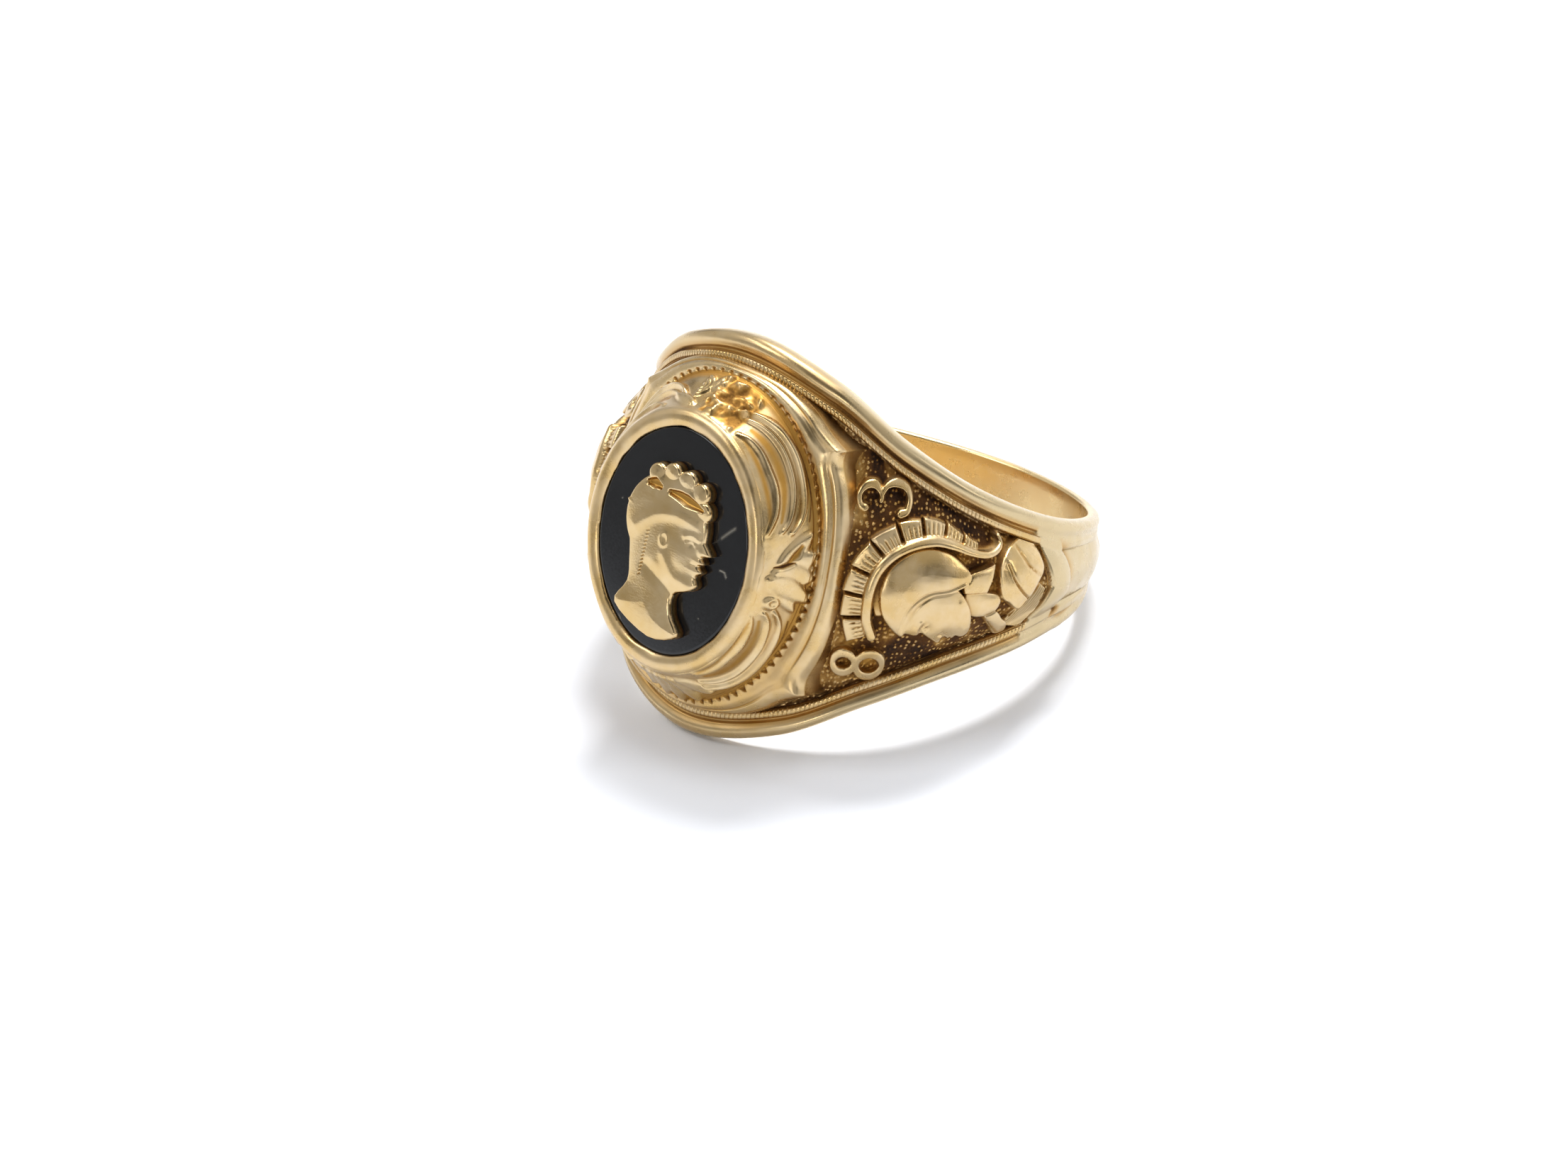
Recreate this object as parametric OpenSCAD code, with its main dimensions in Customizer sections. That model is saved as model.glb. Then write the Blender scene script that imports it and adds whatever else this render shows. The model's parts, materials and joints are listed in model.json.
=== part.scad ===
// Signet ring of gold with a flat oval onyx and a head applied to the stone.
// The ring lies on its side, as it rests on a table, with the stone facing -Y.

/* [Finger] */
// Inner diameter of the ring
bore_d = 19; // [16:0.5:22]

/* [Shank] */
// Width of the band at the back of the finger
shank_w = 2.8; // [2:0.1:4]
// Thickness of the band at the back of the finger
shank_t = 0.8; // [0.7:0.05:1.5]

/* [Head] */
// Width of the head along the finger
head_w = 18.3; // [17:0.1:21]
// Height of the head's rim above the finger
head_t = 0.95; // [0.8:0.05:1.4]

/* [Rails] */
// Radius of the round bead along each edge
bead_r = 0.42; // [0.3:0.02:0.5]
// Width of bead, groove and milgrain line together
rail_w = 1.4; // [1.2:0.05:1.8]
// Depth of the groove between the bead and the milgrain line
groove_t = 0.22; // [0.1:0.02:0.3]
// Depth of the shoulder panel's ground below the rails
ground_t = 0.3; // [0.1:0.05:0.4]

/* [Stone] */
// Length of the stone along the finger
stone_l = 10.3; // [9:0.1:11]
// Width of the stone across the finger
stone_w = 8.64; // [7.6:0.1:9.2]
// Thickness of the stone
stone_t = 1.9; // [1.4:0.1:2.4]
// Height of the stone's face above the finger
stone_rise = 3.95; // [3.4:0.05:4.6]
// Width of the bevel around the stone's face
stone_bevel = 0.25; // [0.1:0.05:0.4]
// Gap between the stone and its seat, and between the applied head and the stone
seat_gap = 0.03; // [0.02:0.01:0.05]

/* [Applied head] */
// Height of the applied head along the finger
emblem_l = 8; // [6:0.1:8.2]
// Width of the applied head from nose to nape
emblem_w = 5.1; // [4:0.1:5.6]
// Thickness of the applied head
emblem_t = 0.55; // [0.3:0.05:0.8]
// Shift of the applied head across the stone, the way it faces
emblem_across = 0.3; // [-0.5:0.1:0.8]
// Shift of the applied head along the stone, toward its crown
emblem_along = -0.5; // [-0.6:0.1:0.2]

/* [Shoulder relief] */
// Height of the raised work over the panel's ground
relief_t = 0.6; // [0.3:0.05:0.8]
// Radius of the helmet's skull
skull_r = 2.3; // [1.8:0.05:2.5]
// Height of the numerals
numeral_l = 2.7; // [2:0.1:3]

/* [Hidden] */

bore_r = bore_d / 2;
stone_y = bore_r + stone_rise;

// Height of the rim above the finger at the back
BACK_RIM = 0.5;

// Places across a rail as shares of its width: groove's floor, and the milgrain line's two edges
GROOVE_IN = 0.62;
MILGRAIN_OUT = 0.72;
MILGRAIN_IN = 0.9;
// Width of a bead as a multiple of its radius, and height of the milgrain line above the rim
BEAD_SPAN = 1.7;
MILGRAIN_T = 0.03;
// Depth of the sides of cutters and sheets past the face that they meet
ROOT = 1;
// Length of the bar that a pattern on the shoulder is cut from
PATTERN_BAR = 6;

// Columns of SECTIONS
ANGLE = 0;
WIDTH = 1;
RIM = 2;
CROWN = 3;
// Sections of the band from the stone round to the back: angle from the stone,
// share of the head's extra width, height of the rim and of the middle above the finger
SECTIONS = [
    [0, 1, head_t, 2.2],
    [25, 0.865, 1.0, 2.75],
    [45, 0.6, 1.1, 2.85],
    [65, 0.378, 1.0, 2.35],
    [90, 0.196, 0.82, 1.5],
    [115, 0.093, 0.65, 0.92],
    [145, 0.02, 0.53, shank_t + 0.02],
    [180, 0, BACK_RIM, shank_t]
];

// Columns of DOME
LENGTH = 0;
ACROSS = 1;
DROP = 2;
SADDLE = 3;
SQUARE = 4;
// Ovals of the bezel from the collar's crest down and out: growth past the stone along and
// across the finger, drop below the stone's face, how far the sides sag, and squareness
DOME = [
    [0.40, 0.40, -0.15, 0, 2],
    [0.75, 0.70, -0.02, 0, 2],
    [1.00, 0.95, 0.45, 0, 2],
    [1.20, 1.02, 0.90, 0.006, 2],
    [1.75, 1.22, 1.65, 0.014, 2],
    [2.33, 1.50, 2.30, 0.0165, 2],
    [2.55, 1.93, 2.50, 0.013, 2.2],
    [2.70, 2.29, 2.90, 0.010, 2.4],
    [2.72, 2.31, 4.20, 0.010, 2.4]
];

// The applied head as shares of its height: back of the skull, middle and radius; the leaves
// in the hair from the brow back; and the outline from the nape down and up the face
SKULL = [-0.05, 0.17];
SKULL_R = 0.28;
LEAVES = [[0.175, 0.3], [0.145, 0.395], [0.045, 0.435], [-0.06, 0.45], [-0.16, 0.42]];
LEAF_R = 0.062;
// Where the first leaf leaves the brow and the last one meets the hair, and the skull's arc
BROW_TURN = -60;
HAIR_TURN = 200;
SKULL_ARC = [150, 220];
LEAF_STEPS = 6;
SKULL_STEPS = 8;
FACE = [
    [-0.26, -0.1], [-0.25, -0.22], [-0.31, -0.37], [-0.05, -0.49], [0.14, -0.43], [0.08, -0.32],
    [0.07, -0.21], [0.17, -0.16], [0.215, -0.115], [0.2, -0.065], [0.235, -0.03], [0.21, 0],
    [0.24, 0.02], [0.222, 0.055], [0.265, 0.068], [0.272, 0.09], [0.19, 0.185], [0.196, 0.23]
];
PROFILE_W = 0.6;

// Places on the shoulder, as angles from the stone and heights beside the middle
NUMERAL_ANGLE = 41;
NUMERAL_SIDE = 3.9;
HEAD_ANGLE = 54;
HEAD_SIDE = 0.4;
// Edges of the helmet's crest as multiples of the skull's radius
CREST_IN = 1.17;
CREST_OUT = 1.65;
DRAPE_ANGLE = 77;
numeral_stroke = 0.42;

SHEET_START = 30;
SHEET_END = 90;
SHEET_STEPS = 14;
SHEET_ROWS = 5;
SHEET_ROOT = 0.3;
BAND_STEPS = 84;
CROWN_STEPS = 7;
DOME_STEPS = 64;
STONE_STEPS = 96;

// The head rests on its lower inner edge and the back on the curve of its bead
back_bead = bead_r * min(1, 0.25 * shank_w / rail_w);
back_reach = bore_r + BACK_RIM - back_bead;
rest_span = bore_r + back_reach;
rest_drop = (head_w - shank_w) / 2 + back_bead;
tilt = atan2(rest_drop, rest_span) - asin(back_bead / norm([rest_drop, rest_span]));
table_depth = head_w / 2 * cos(tilt) - bore_r * sin(tilt);
back_y = back_reach * cos(tilt) + (shank_w / 2 - back_bead) * sin(tilt) + back_bead;
collar_y = stone_y - DOME[1][DROP];
front_y = -collar_y * cos(tilt) - (stone_l / 2 + DOME[1][LENGTH]) * sin(tilt);

function folded(angle) = abs(angle) > 180 ? 360 - abs(angle) : abs(angle);

function section_at(angle, i = 0) =
    i >= len(SECTIONS) - 2 || angle < SECTIONS[i + 1][ANGLE] ? i : section_at(angle, i + 1);

function slope_at(i, column) =
    i == 0 || i == len(SECTIONS) - 1 ? 0 :
    (SECTIONS[i + 1][column] - SECTIONS[i - 1][column]) /
    (SECTIONS[i + 1][ANGLE] - SECTIONS[i - 1][ANGLE]);

// A smooth curve through one column of the table
function along_band(angle, column) =
    let (
        a = folded(angle),
        i = section_at(a),
        span = SECTIONS[i + 1][ANGLE] - SECTIONS[i][ANGLE],
        t = (a - SECTIONS[i][ANGLE]) / span
    )
    (1 + 2 * t) * pow(1 - t, 2) * SECTIONS[i][column] +
    t * pow(1 - t, 2) * span * slope_at(i, column) +
    t * t * (3 - 2 * t) * SECTIONS[i + 1][column] +
    t * t * (t - 1) * span * slope_at(i + 1, column);

function half_width(angle) = (shank_w + (head_w - shank_w) * along_band(angle, WIDTH)) / 2;
function rim_r(angle) = bore_r + along_band(angle, RIM);
function crown_r(angle) = bore_r + along_band(angle, CROWN);

function ramp(low, high, x) =
    let (t = min(1, max(0, (x - low) / (high - low)))) t * t * (3 - 2 * t);

// The rails run from the head to the narrow part of the shank and fade out there
function rail_share(angle) = 1 - ramp(98, 122, folded(angle));

// The rails narrow together where the band is narrow
function rail_fit(angle) = min(1, 0.5 * half_width(angle) / rail_w);

// The panel between the rails: its half width, and its radius at a share of that from the middle
function ground_w(angle) = half_width(angle) - rail_w * rail_fit(angle);
function ground_r(angle, u) =
    let (r = rim_r(angle))
    r + (crown_r(angle) - r) * (1 - u * u) - rail_share(angle) * ground_t;

// Half of the band's outline, from the lower edge to the middle, as [height, radius]
function half_outline(angle) =
    let (
        w = half_width(angle),
        r = rim_r(angle),
        share = rail_share(angle),
        fit = rail_fit(angle),
        bead = bead_r * fit,
        inner = ground_w(angle)
    )
    concat(
        [for (a = [0, 30, 60, 90]) [-w + bead * (1 - cos(a)), r - bead * (1 - sin(a))]],
        [
            [-w + bead * BEAD_SPAN, r - share * groove_t / 3],
            [-w + rail_w * fit * GROOVE_IN, r - share * groove_t],
            [-w + rail_w * fit * MILGRAIN_OUT, r],
            [-w + rail_w * fit * MILGRAIN_IN, r + share * MILGRAIN_T],
            [-inner, ground_r(angle, 1)]
        ],
        [for (i = [1:CROWN_STEPS - 1])
            let (u = 1 - i / CROWN_STEPS)
            [-inner * u, ground_r(angle, u)]]
    );

function outline(angle) =
    let (half = half_outline(angle), last = len(half) - 1, w = half_width(angle))
    concat(
        [[-w, bore_r - ROOT]],
        half,
        [[0, ground_r(angle, 0)]],
        [for (i = [last:-1:0]) [-half[i][0], half[i][1]]],
        [[w, bore_r - ROOT]]
    );

function around(angle, p) = [p[1] * sin(angle), -p[1] * cos(angle), p[0]];

// Faces between closed rings of equal length, each ring joined to the next
function ring_faces(rings, n, closed) = [
    for (i = [0:(closed ? rings - 1 : rings - 2)], j = [0:n - 1])
        let (
            a = i * n + j,
            b = i * n + (j + 1) % n,
            c = ((i + 1) % rings) * n + (j + 1) % n,
            d = ((i + 1) % rings) * n + j
        )
        each [[a, b, c], [a, c, d]]
];

function oval(a, b, square, angle) = [
    b * sign(cos(angle)) * pow(abs(cos(angle)), 2 / square),
    a * sign(sin(angle)) * pow(abs(sin(angle)), 2 / square)
];

function dome_ring(row) = [
    for (i = [0:DOME_STEPS - 1])
        let (p = oval(stone_l / 2 + row[LENGTH], stone_w / 2 + row[ACROSS], row[SQUARE],
                      360 * i / DOME_STEPS))
        [p[0], -(stone_y - row[DROP] - row[SADDLE] * p[0] * p[0]), p[1]]
];

function stone_outline(grow) =
    [for (i = [0:STONE_STEPS - 1]) oval(stone_l / 2 + grow, stone_w / 2 + grow, 2,
                                         360 * i / STONE_STEPS)];

module band() {
    rings = [for (i = [0:BAND_STEPS - 1])
        let (a = 360 * i / BAND_STEPS) [for (p = outline(a)) around(a, p)]];
    polyhedron(points = [for (ring = rings) each ring],
               faces = ring_faces(BAND_STEPS, len(rings[0]), true));
}

module bezel() {
    rings = [for (row = DOME) dome_ring(row)];
    last = (len(DOME) - 1) * DOME_STEPS;
    polyhedron(
        points = [for (ring = rings) each ring],
        faces = concat(
            ring_faces(len(DOME), DOME_STEPS, false),
            [[for (i = [DOME_STEPS - 1:-1:0]) i]],
            [[for (i = [0:DOME_STEPS - 1]) last + i]]
        ));
}

// Stands a flat outline upright, facing -Y, with its back at the given height from the axis
module facing(height) {
    translate([0, -height, 0]) rotate([90, 0, 0]) children();
}

// Stands a flat pattern out from the shoulder: its top points to the stone
module on_shoulder(angle) {
    rotate([0, 0, angle]) rotate([0, -90, 0]) rotate([90, 0, 0])
        translate([0, 0, bore_r - ROOT]) linear_extrude(PATTERN_BAR) children();
}

module arc_band(outer, inner, start, end) {
    intersection() {
        difference() {
            circle(r = outer, $fn = 64);
            circle(r = inner, $fn = 64);
        }
        polygon(concat([[0, 0]],
            [for (a = [start:15:end]) [2 * outer * cos(a), 2 * outer * sin(a)]]));
    }
}

module eight() {
    r = numeral_l / 4 + numeral_stroke / 4;
    for (y = [-1, 1])
        translate([0, y * (r - numeral_stroke / 2)]) arc_band(r, r - numeral_stroke, 0, 360);
}

module three() {
    r = numeral_l / 4 + numeral_stroke / 4;
    translate([0, r - numeral_stroke / 2]) arc_band(r, r - numeral_stroke, -90, 150);
    translate([0, -r + numeral_stroke / 2]) arc_band(r, r - numeral_stroke, -150, 90);
}

// A helmeted head that faces left: skull, crest, face and neck guard
module helmeted_head() {
    circle(r = skull_r, $fn = 64);
    arc_band(skull_r * CREST_OUT, skull_r * CREST_IN, -45, 120);
    translate([-skull_r * 0.5, -skull_r * 0.55]) circle(r = skull_r * 0.75, $fn = 48);
    polygon(skull_r * [[0.6, -0.2], [1.5, -0.9], [1.2, -1.6], [0.5, -1.5], [-0.7, -1.2]]);
}

module draped_shoulder() {
    polygon(skull_r * [[-0.5, 0.6], [0.3, 0.7], [0.9, 0.4], [0.8, -0.2], [0.1, -1], [-0.6, -0.4]]);
}

module shoulder_relief() {
    on_shoulder(NUMERAL_ANGLE) translate([-NUMERAL_SIDE, 0]) eight();
    on_shoulder(NUMERAL_ANGLE) translate([NUMERAL_SIDE, 0]) three();
    on_shoulder(HEAD_ANGLE) translate([-HEAD_SIDE, 0]) helmeted_head();
    on_shoulder(DRAPE_ANGLE) draped_shoulder();
}

// A sheet over one shoulder panel, as high as the raised work and rooted in the wall
module shoulder_sheet() {
    across = [for (j = [-SHEET_ROWS:SHEET_ROWS]) j / SHEET_ROWS];
    rings = [for (i = [0:SHEET_STEPS])
        let (
            a = SHEET_START + (SHEET_END - SHEET_START) * i / SHEET_STEPS,
            w = ground_w(a)
        )
        concat(
            [for (u = across) around(a, [w * u, ground_r(a, u) + relief_t])],
            [around(a, [w, bore_r + SHEET_ROOT]), around(a, [-w, bore_r + SHEET_ROOT])]
        )];
    n = len(rings[0]);
    polyhedron(
        points = [for (ring = rings) each ring],
        faces = concat(
            ring_faces(len(rings), n, false),
            [[for (j = [n - 1:-1:0]) j]],
            [[for (j = [0:n - 1]) SHEET_STEPS * n + j]]
        ));
}

module relief() {
    for (side = [0, 180]) rotate([0, side, 0]) intersection() {
        shoulder_sheet();
        shoulder_relief();
    }
}

module upright_body() {
    difference() {
        union() {
            band();
            bezel();
            relief();
        }
        cylinder(r = bore_r, h = head_w + 4 * ROOT, center = true, $fn = 128);
        facing(stone_y - stone_t - seat_gap)
            linear_extrude(stone_t + 2 * ROOT) polygon(stone_outline(seat_gap));
    }
}

// Lays the ring on its side: head and back both touch the table, and the origin is the
// middle of the part's box at the table
module at_rest() {
    translate([0, -(back_y + front_y) / 2, table_depth]) rotate([-tilt, 0, 0]) children();
}

module ring_body() {
    color("goldenrod") at_rest() upright_body();
}

module onyx_stone() {
    color("black") at_rest() facing(stone_y - stone_t)
        union() {
            linear_extrude(stone_t - stone_bevel) polygon(stone_outline(0));
            translate([0, 0, stone_t - stone_bevel])
                linear_extrude(stone_bevel, scale = 1 - 2 * stone_bevel / stone_w)
                    polygon(stone_outline(0));
        }
}

function arc(middle, r, start, end, n) =
    [for (i = [0:n]) let (a = start + (end - start) * i / n) middle + r * [cos(a), sin(a)]];

function direction(a, b) = atan2(b[1] - a[1], b[0] - a[0]);

// The outer arc of one leaf, from where it leaves the one before to where it meets the next
function leaf_arc(i) =
    let (
        last = len(LEAVES) - 1,
        before = i == 0 ? BROW_TURN :
            direction(LEAVES[i], LEAVES[i - 1]) + acos(norm(LEAVES[i] - LEAVES[i - 1]) / 2 / LEAF_R),
        turn = i == last ? HAIR_TURN : direction(LEAVES[i], LEAVES[i + 1]),
        after = i == last ? turn :
            (turn < 0 ? turn + 360 : turn) - acos(norm(LEAVES[i] - LEAVES[i + 1]) / 2 / LEAF_R)
    )
    arc(LEAVES[i], LEAF_R, before, after, LEAF_STEPS);

// A classical head in profile, facing right, with leaves in the hair
module profile_head() {
    outline = concat(
        [for (i = [0:len(LEAVES) - 1]) each leaf_arc(i)],
        arc(SKULL, SKULL_R, SKULL_ARC[0], SKULL_ARC[1], SKULL_STEPS),
        FACE
    );
    polygon([for (p = outline) [p[0] * emblem_w / PROFILE_W, p[1] * emblem_l]]);
}

module applied_head() {
    color("gold") at_rest() facing(stone_y + seat_gap)
        linear_extrude(emblem_t) translate([emblem_across, emblem_along]) profile_head();
}

ring_body();
onyx_stone();
applied_head();
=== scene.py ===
"""Looks of a worn gold signet ring with a flat oval onyx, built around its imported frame.

All shapes are worked out in millimetres on the upright ring: the stone faces -Y, the finger
hole runs along Z and the near shoulder is at +X. RestPose then lays them on their side, in the
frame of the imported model.
"""

import json
import logging
import math
from dataclasses import dataclass, field
from enum import Enum
from functools import partial
from typing import Callable

import bpy
import numpy as np
from mathutils import Matrix, Vector


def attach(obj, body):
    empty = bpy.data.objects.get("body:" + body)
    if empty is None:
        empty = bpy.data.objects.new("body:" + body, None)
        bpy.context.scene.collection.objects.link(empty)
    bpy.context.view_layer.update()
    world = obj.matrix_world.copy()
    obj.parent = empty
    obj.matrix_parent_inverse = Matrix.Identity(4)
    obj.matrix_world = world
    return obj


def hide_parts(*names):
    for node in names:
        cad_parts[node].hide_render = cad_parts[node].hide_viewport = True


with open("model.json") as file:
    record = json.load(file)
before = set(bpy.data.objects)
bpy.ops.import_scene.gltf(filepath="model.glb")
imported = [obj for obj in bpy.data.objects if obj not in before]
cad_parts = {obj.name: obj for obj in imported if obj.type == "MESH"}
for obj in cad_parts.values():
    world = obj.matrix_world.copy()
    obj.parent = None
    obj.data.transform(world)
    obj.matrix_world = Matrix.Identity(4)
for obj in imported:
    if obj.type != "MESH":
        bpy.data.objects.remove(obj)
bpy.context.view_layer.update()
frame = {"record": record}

MM = 0.001
LOG = logging.getLogger("signet_ring")
Array = np.ndarray
Table = tuple[tuple[float, ...], ...]


class Slot(Enum):
    """The record's material slots."""

    GOLD = "gold"
    ONYX = "onyx"
    GOLD_POLISHED = "gold_polished"


class Wear(Enum):
    """Names of the mesh attributes that carry the age of the metal, and the painted shade and light that
    ride on them.
    """

    SOOT = "soot"
    AMBER = "amber"
    RUB = "rub"


# Arithmetic on grids


def ramp(low: float | Array, high: float | Array, x: float | Array) -> float | Array:
    """Smooth step from 0 at low to 1 at high."""
    t = np.clip((x - low) / (high - low), 0.0, 1.0)
    return t * t * (3 - 2 * t)


def plateau(low: float, rise: float, fall: float, high: float, x: Array) -> Array:
    """Smooth step up from low to rise and down again from fall to high."""
    return ramp(low, rise, x) * (1 - ramp(fall, high, x))


def bump(x: float | Array, width: float) -> float | Array:
    """Soft hump of height 1 at x = 0 that is gone at about twice the width."""
    return np.exp(-((x / width) ** 2))


def quarter_round(depth: Array, radius: float) -> Array:
    """Rise of a rounded edge from 0 at the rim to 1 at the radius."""
    t = np.clip(depth / radius, 0.0, 1.0)
    return np.sqrt(np.clip(1 - (1 - t) ** 2, 0.0, 1.0))


def half_round(x: Array) -> Array:
    """Section of a rounded ridge from 0 at its edge to 1 at its middle."""
    return np.sin(np.pi / 2 * np.clip(x, 0, 1))


def through_rows(table: Table, x: Array, column: int) -> Array:
    """Smooth curve through one column of a table.

    Args:
        table: Rows of values, the first column rising.
        x: Where to read the curve, in the first column's units.
        column: Which column to follow.

    Returns:
        The curve's values, with no slope at either end.
    """
    rows = np.array(table, float)
    keys, values = rows[:, 0], rows[:, column]
    slopes = np.zeros(len(keys))
    slopes[1:-1] = (values[2:] - values[:-2]) / (keys[2:] - keys[:-2])
    i = np.clip(np.searchsorted(keys, x, side="right") - 1, 0, len(keys) - 2)
    span = keys[i + 1] - keys[i]
    t = (x - keys[i]) / span
    return (
        (1 + 2 * t) * (1 - t) ** 2 * values[i]
        + t * (1 - t) ** 2 * span * slopes[i]
        + t * t * (3 - 2 * t) * values[i + 1]
        + t * t * (t - 1) * span * slopes[i + 1]
    )


def blurred(values: Array, cells: int, wrap_rows: bool = False) -> Array:
    """Box blur, twice each way.

    Args:
        values: A grid.
        cells: Half of the box, in cells.
        wrap_rows: True where the last row meets the first.

    Returns:
        The blurred grid.
    """
    out = values
    for axis in (0, 0, 1, 1):
        mode = "wrap" if wrap_rows and axis == 0 else "edge"
        pad = [(0, 0), (0, 0)]
        pad[axis] = (cells + 1, cells)
        total = np.cumsum(np.pad(out, pad, mode=mode), axis=axis)
        size = values.shape[axis]
        upper = np.take(total, np.arange(2 * cells + 1, 2 * cells + 1 + size), axis=axis)
        lower = np.take(total, np.arange(size), axis=axis)
        out = (upper - lower) / (2 * cells + 1)
    return out


def soft_noise(shape: tuple[int, int], cells: int, seed: int, wrap: bool = False) -> Array:
    """Smooth seeded noise on a grid, mean 0 and deviation 1, with lumps of some cells."""
    made = blurred(np.random.default_rng(seed).normal(size=shape), cells, wrap)
    return (made - made.mean()) / made.std()


def hollows(height: Array, cells: int, depth: float, wrap: bool = False) -> Array:
    """How far each place lies below what is round it, as a share of a depth from 0 to 1."""
    return np.clip((blurred(height, cells, wrap) - height) / depth, 0.0, 1.0)


# Outlines and strokes


def smoothed(points: Table, closed: bool = True, steps: int = 6) -> Array:
    """A Catmull-Rom curve through points.

    Args:
        points: Pairs of numbers.
        closed: True if the last point joins the first.
        steps: Pieces that each stretch is cut into.

    Returns:
        The curve as an array of points.
    """
    p = np.array(points, float)
    run = np.vstack([p[-1:], p, p[:2]] if closed else [p[:1], p, p[-1:]])
    before, p, after, later = run[:-3], run[1:-2], run[2:-1], run[3:]
    out = []
    for t in np.arange(steps) / steps:
        out.append(
            0.5
            * (
                2 * p
                + (after - before) * t
                + (2 * before - 5 * p + 4 * after - later) * t * t
                + (3 * p - before - 3 * after + later) * t**3
            )
        )
    curve = np.stack(out, 1).reshape(-1, 2)
    return curve if closed else np.vstack([curve, np.array(points[-1], float)])


def depth_inside(x: Array, y: Array, outline: Array) -> Array:
    """Distance in from a closed outline, positive inside and negative outside.

    Args:
        x: Places across.
        y: Places up.
        outline: Corners of the outline.

    Returns:
        The distance at each place.
    """
    best = np.full(x.shape, np.inf)
    inside = np.zeros(x.shape, bool)
    for (x0, y0), (x1, y1) in zip(outline, np.roll(outline, -1, 0)):
        ex, ey = x1 - x0, y1 - y0
        t = np.clip(((x - x0) * ex + (y - y0) * ey) / (ex * ex + ey * ey + 1e-12), 0, 1)
        best = np.minimum(best, (x - x0 - t * ex) ** 2 + (y - y0 - t * ey) ** 2)
        if y0 != y1:
            inside ^= ((y0 > y) != (y1 > y)) & (x < ex * (y - y0) / ey + x0)
    away = np.sqrt(best)
    return np.where(inside, away, -away)


def beside_path(x: Array, y: Array, path: Array) -> tuple[Array, Array, Array]:
    """Where a grid's places lie beside an open path.

    Args:
        x: Places across.
        y: Places up.
        path: Points of the path.

    Returns:
        The distance to the path, the length along it there, and +1 to its left or -1.
    """
    best = np.full(x.shape, np.inf)
    along = np.zeros(x.shape)
    side = np.ones(x.shape)
    run = 0.0
    for (x0, y0), (x1, y1) in zip(path[:-1], path[1:]):
        ex, ey = x1 - x0, y1 - y0
        length = math.hypot(ex, ey)
        t = np.clip(((x - x0) * ex + (y - y0) * ey) / (length * length + 1e-12), 0, 1)
        d = np.hypot(x - x0 - t * ex, y - y0 - t * ey)
        near = d < best
        best = np.where(near, d, best)
        along = np.where(near, run + t * length, along)
        side = np.where(near, np.where(ex * (y - y0) - ey * (x - x0) > 0, 1.0, -1.0), side)
        run += length
    return best, along, side


def away_from(x: Array, y: Array, points: Table) -> Array:
    """Distance of a grid's places from a smooth open line through points."""
    return beside_path(x, y, smoothed(points, closed=False))[0]


def lengths_along(path: Array) -> Array:
    """Length of an open path up to each of its points."""
    return np.concatenate([[0], np.cumsum(np.linalg.norm(np.diff(path, axis=0), axis=1))])


def path_length(path: Array) -> float:
    """Length of an open path."""
    return float(lengths_along(path)[-1])


def beside_stroke(x: Array, y: Array, stroke: Table) -> tuple[Array, Array]:
    """Where a grid's places lie in a stroke of changing width.

    Args:
        x: Places across.
        y: Places up.
        stroke: Points of its middle line, each with the half width there.

    Returns:
        The distance in from the stroke's edge, and its half width there.
    """
    curve = smoothed([p[:2] for p in stroke], closed=False, steps=5)
    away, along, _ = beside_path(x, y, curve)
    stations = np.linspace(0, path_length(curve), len(stroke))
    half = np.interp(along, stations, [p[2] for p in stroke])
    return half - away, half


# Meshes


@dataclass(frozen=True)
class RestPose:
    """How the ring lies on the table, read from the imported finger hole."""

    centre: Vector
    axis: Vector

    def place(self, points: Array) -> Array:
        """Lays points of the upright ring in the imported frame.

        Args:
            points: Places in millimetres.

        Returns:
            The places in metres.
        """
        s, c = self.axis.y, self.axis.z
        x, y, z = points[..., 0], points[..., 1], points[..., 2]
        laid = np.stack([x, c * y + s * z, c * z - s * y], -1) * MM
        return laid + np.array(self.centre)

    def turn(self, v: Vector) -> Vector:
        """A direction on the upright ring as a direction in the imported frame."""
        s, c = self.axis.y, self.axis.z
        return Vector((v.x, c * v.y + s * v.z, c * v.z - s * v.y))


def around(angle: Array, z: Array, r: Array) -> Array:
    """Points of the upright ring at an angle from the stone in degrees, a height and a radius."""
    a = np.radians(angle)
    return np.stack(np.broadcast_arrays(r * np.sin(a), -r * np.cos(a), z), -1)


def loop_faces(rows: int, cols: int, closed: bool) -> Array:
    """Quads between closed loops of equal length, each joined to the next.

    Args:
        rows: Number of loops.
        cols: Points in each.
        closed: True if the last loop joins the first.

    Returns:
        Four point numbers for each quad.
    """
    i = np.arange(rows if closed else rows - 1)[:, None]
    j = np.arange(cols)[None, :]
    after, beside = (i + 1) % rows, (j + 1) % cols
    quad = [i * cols + j, i * cols + beside, after * cols + beside, after * cols + j]
    return np.stack(np.broadcast_arrays(*quad), -1).reshape(-1, 4)


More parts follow.
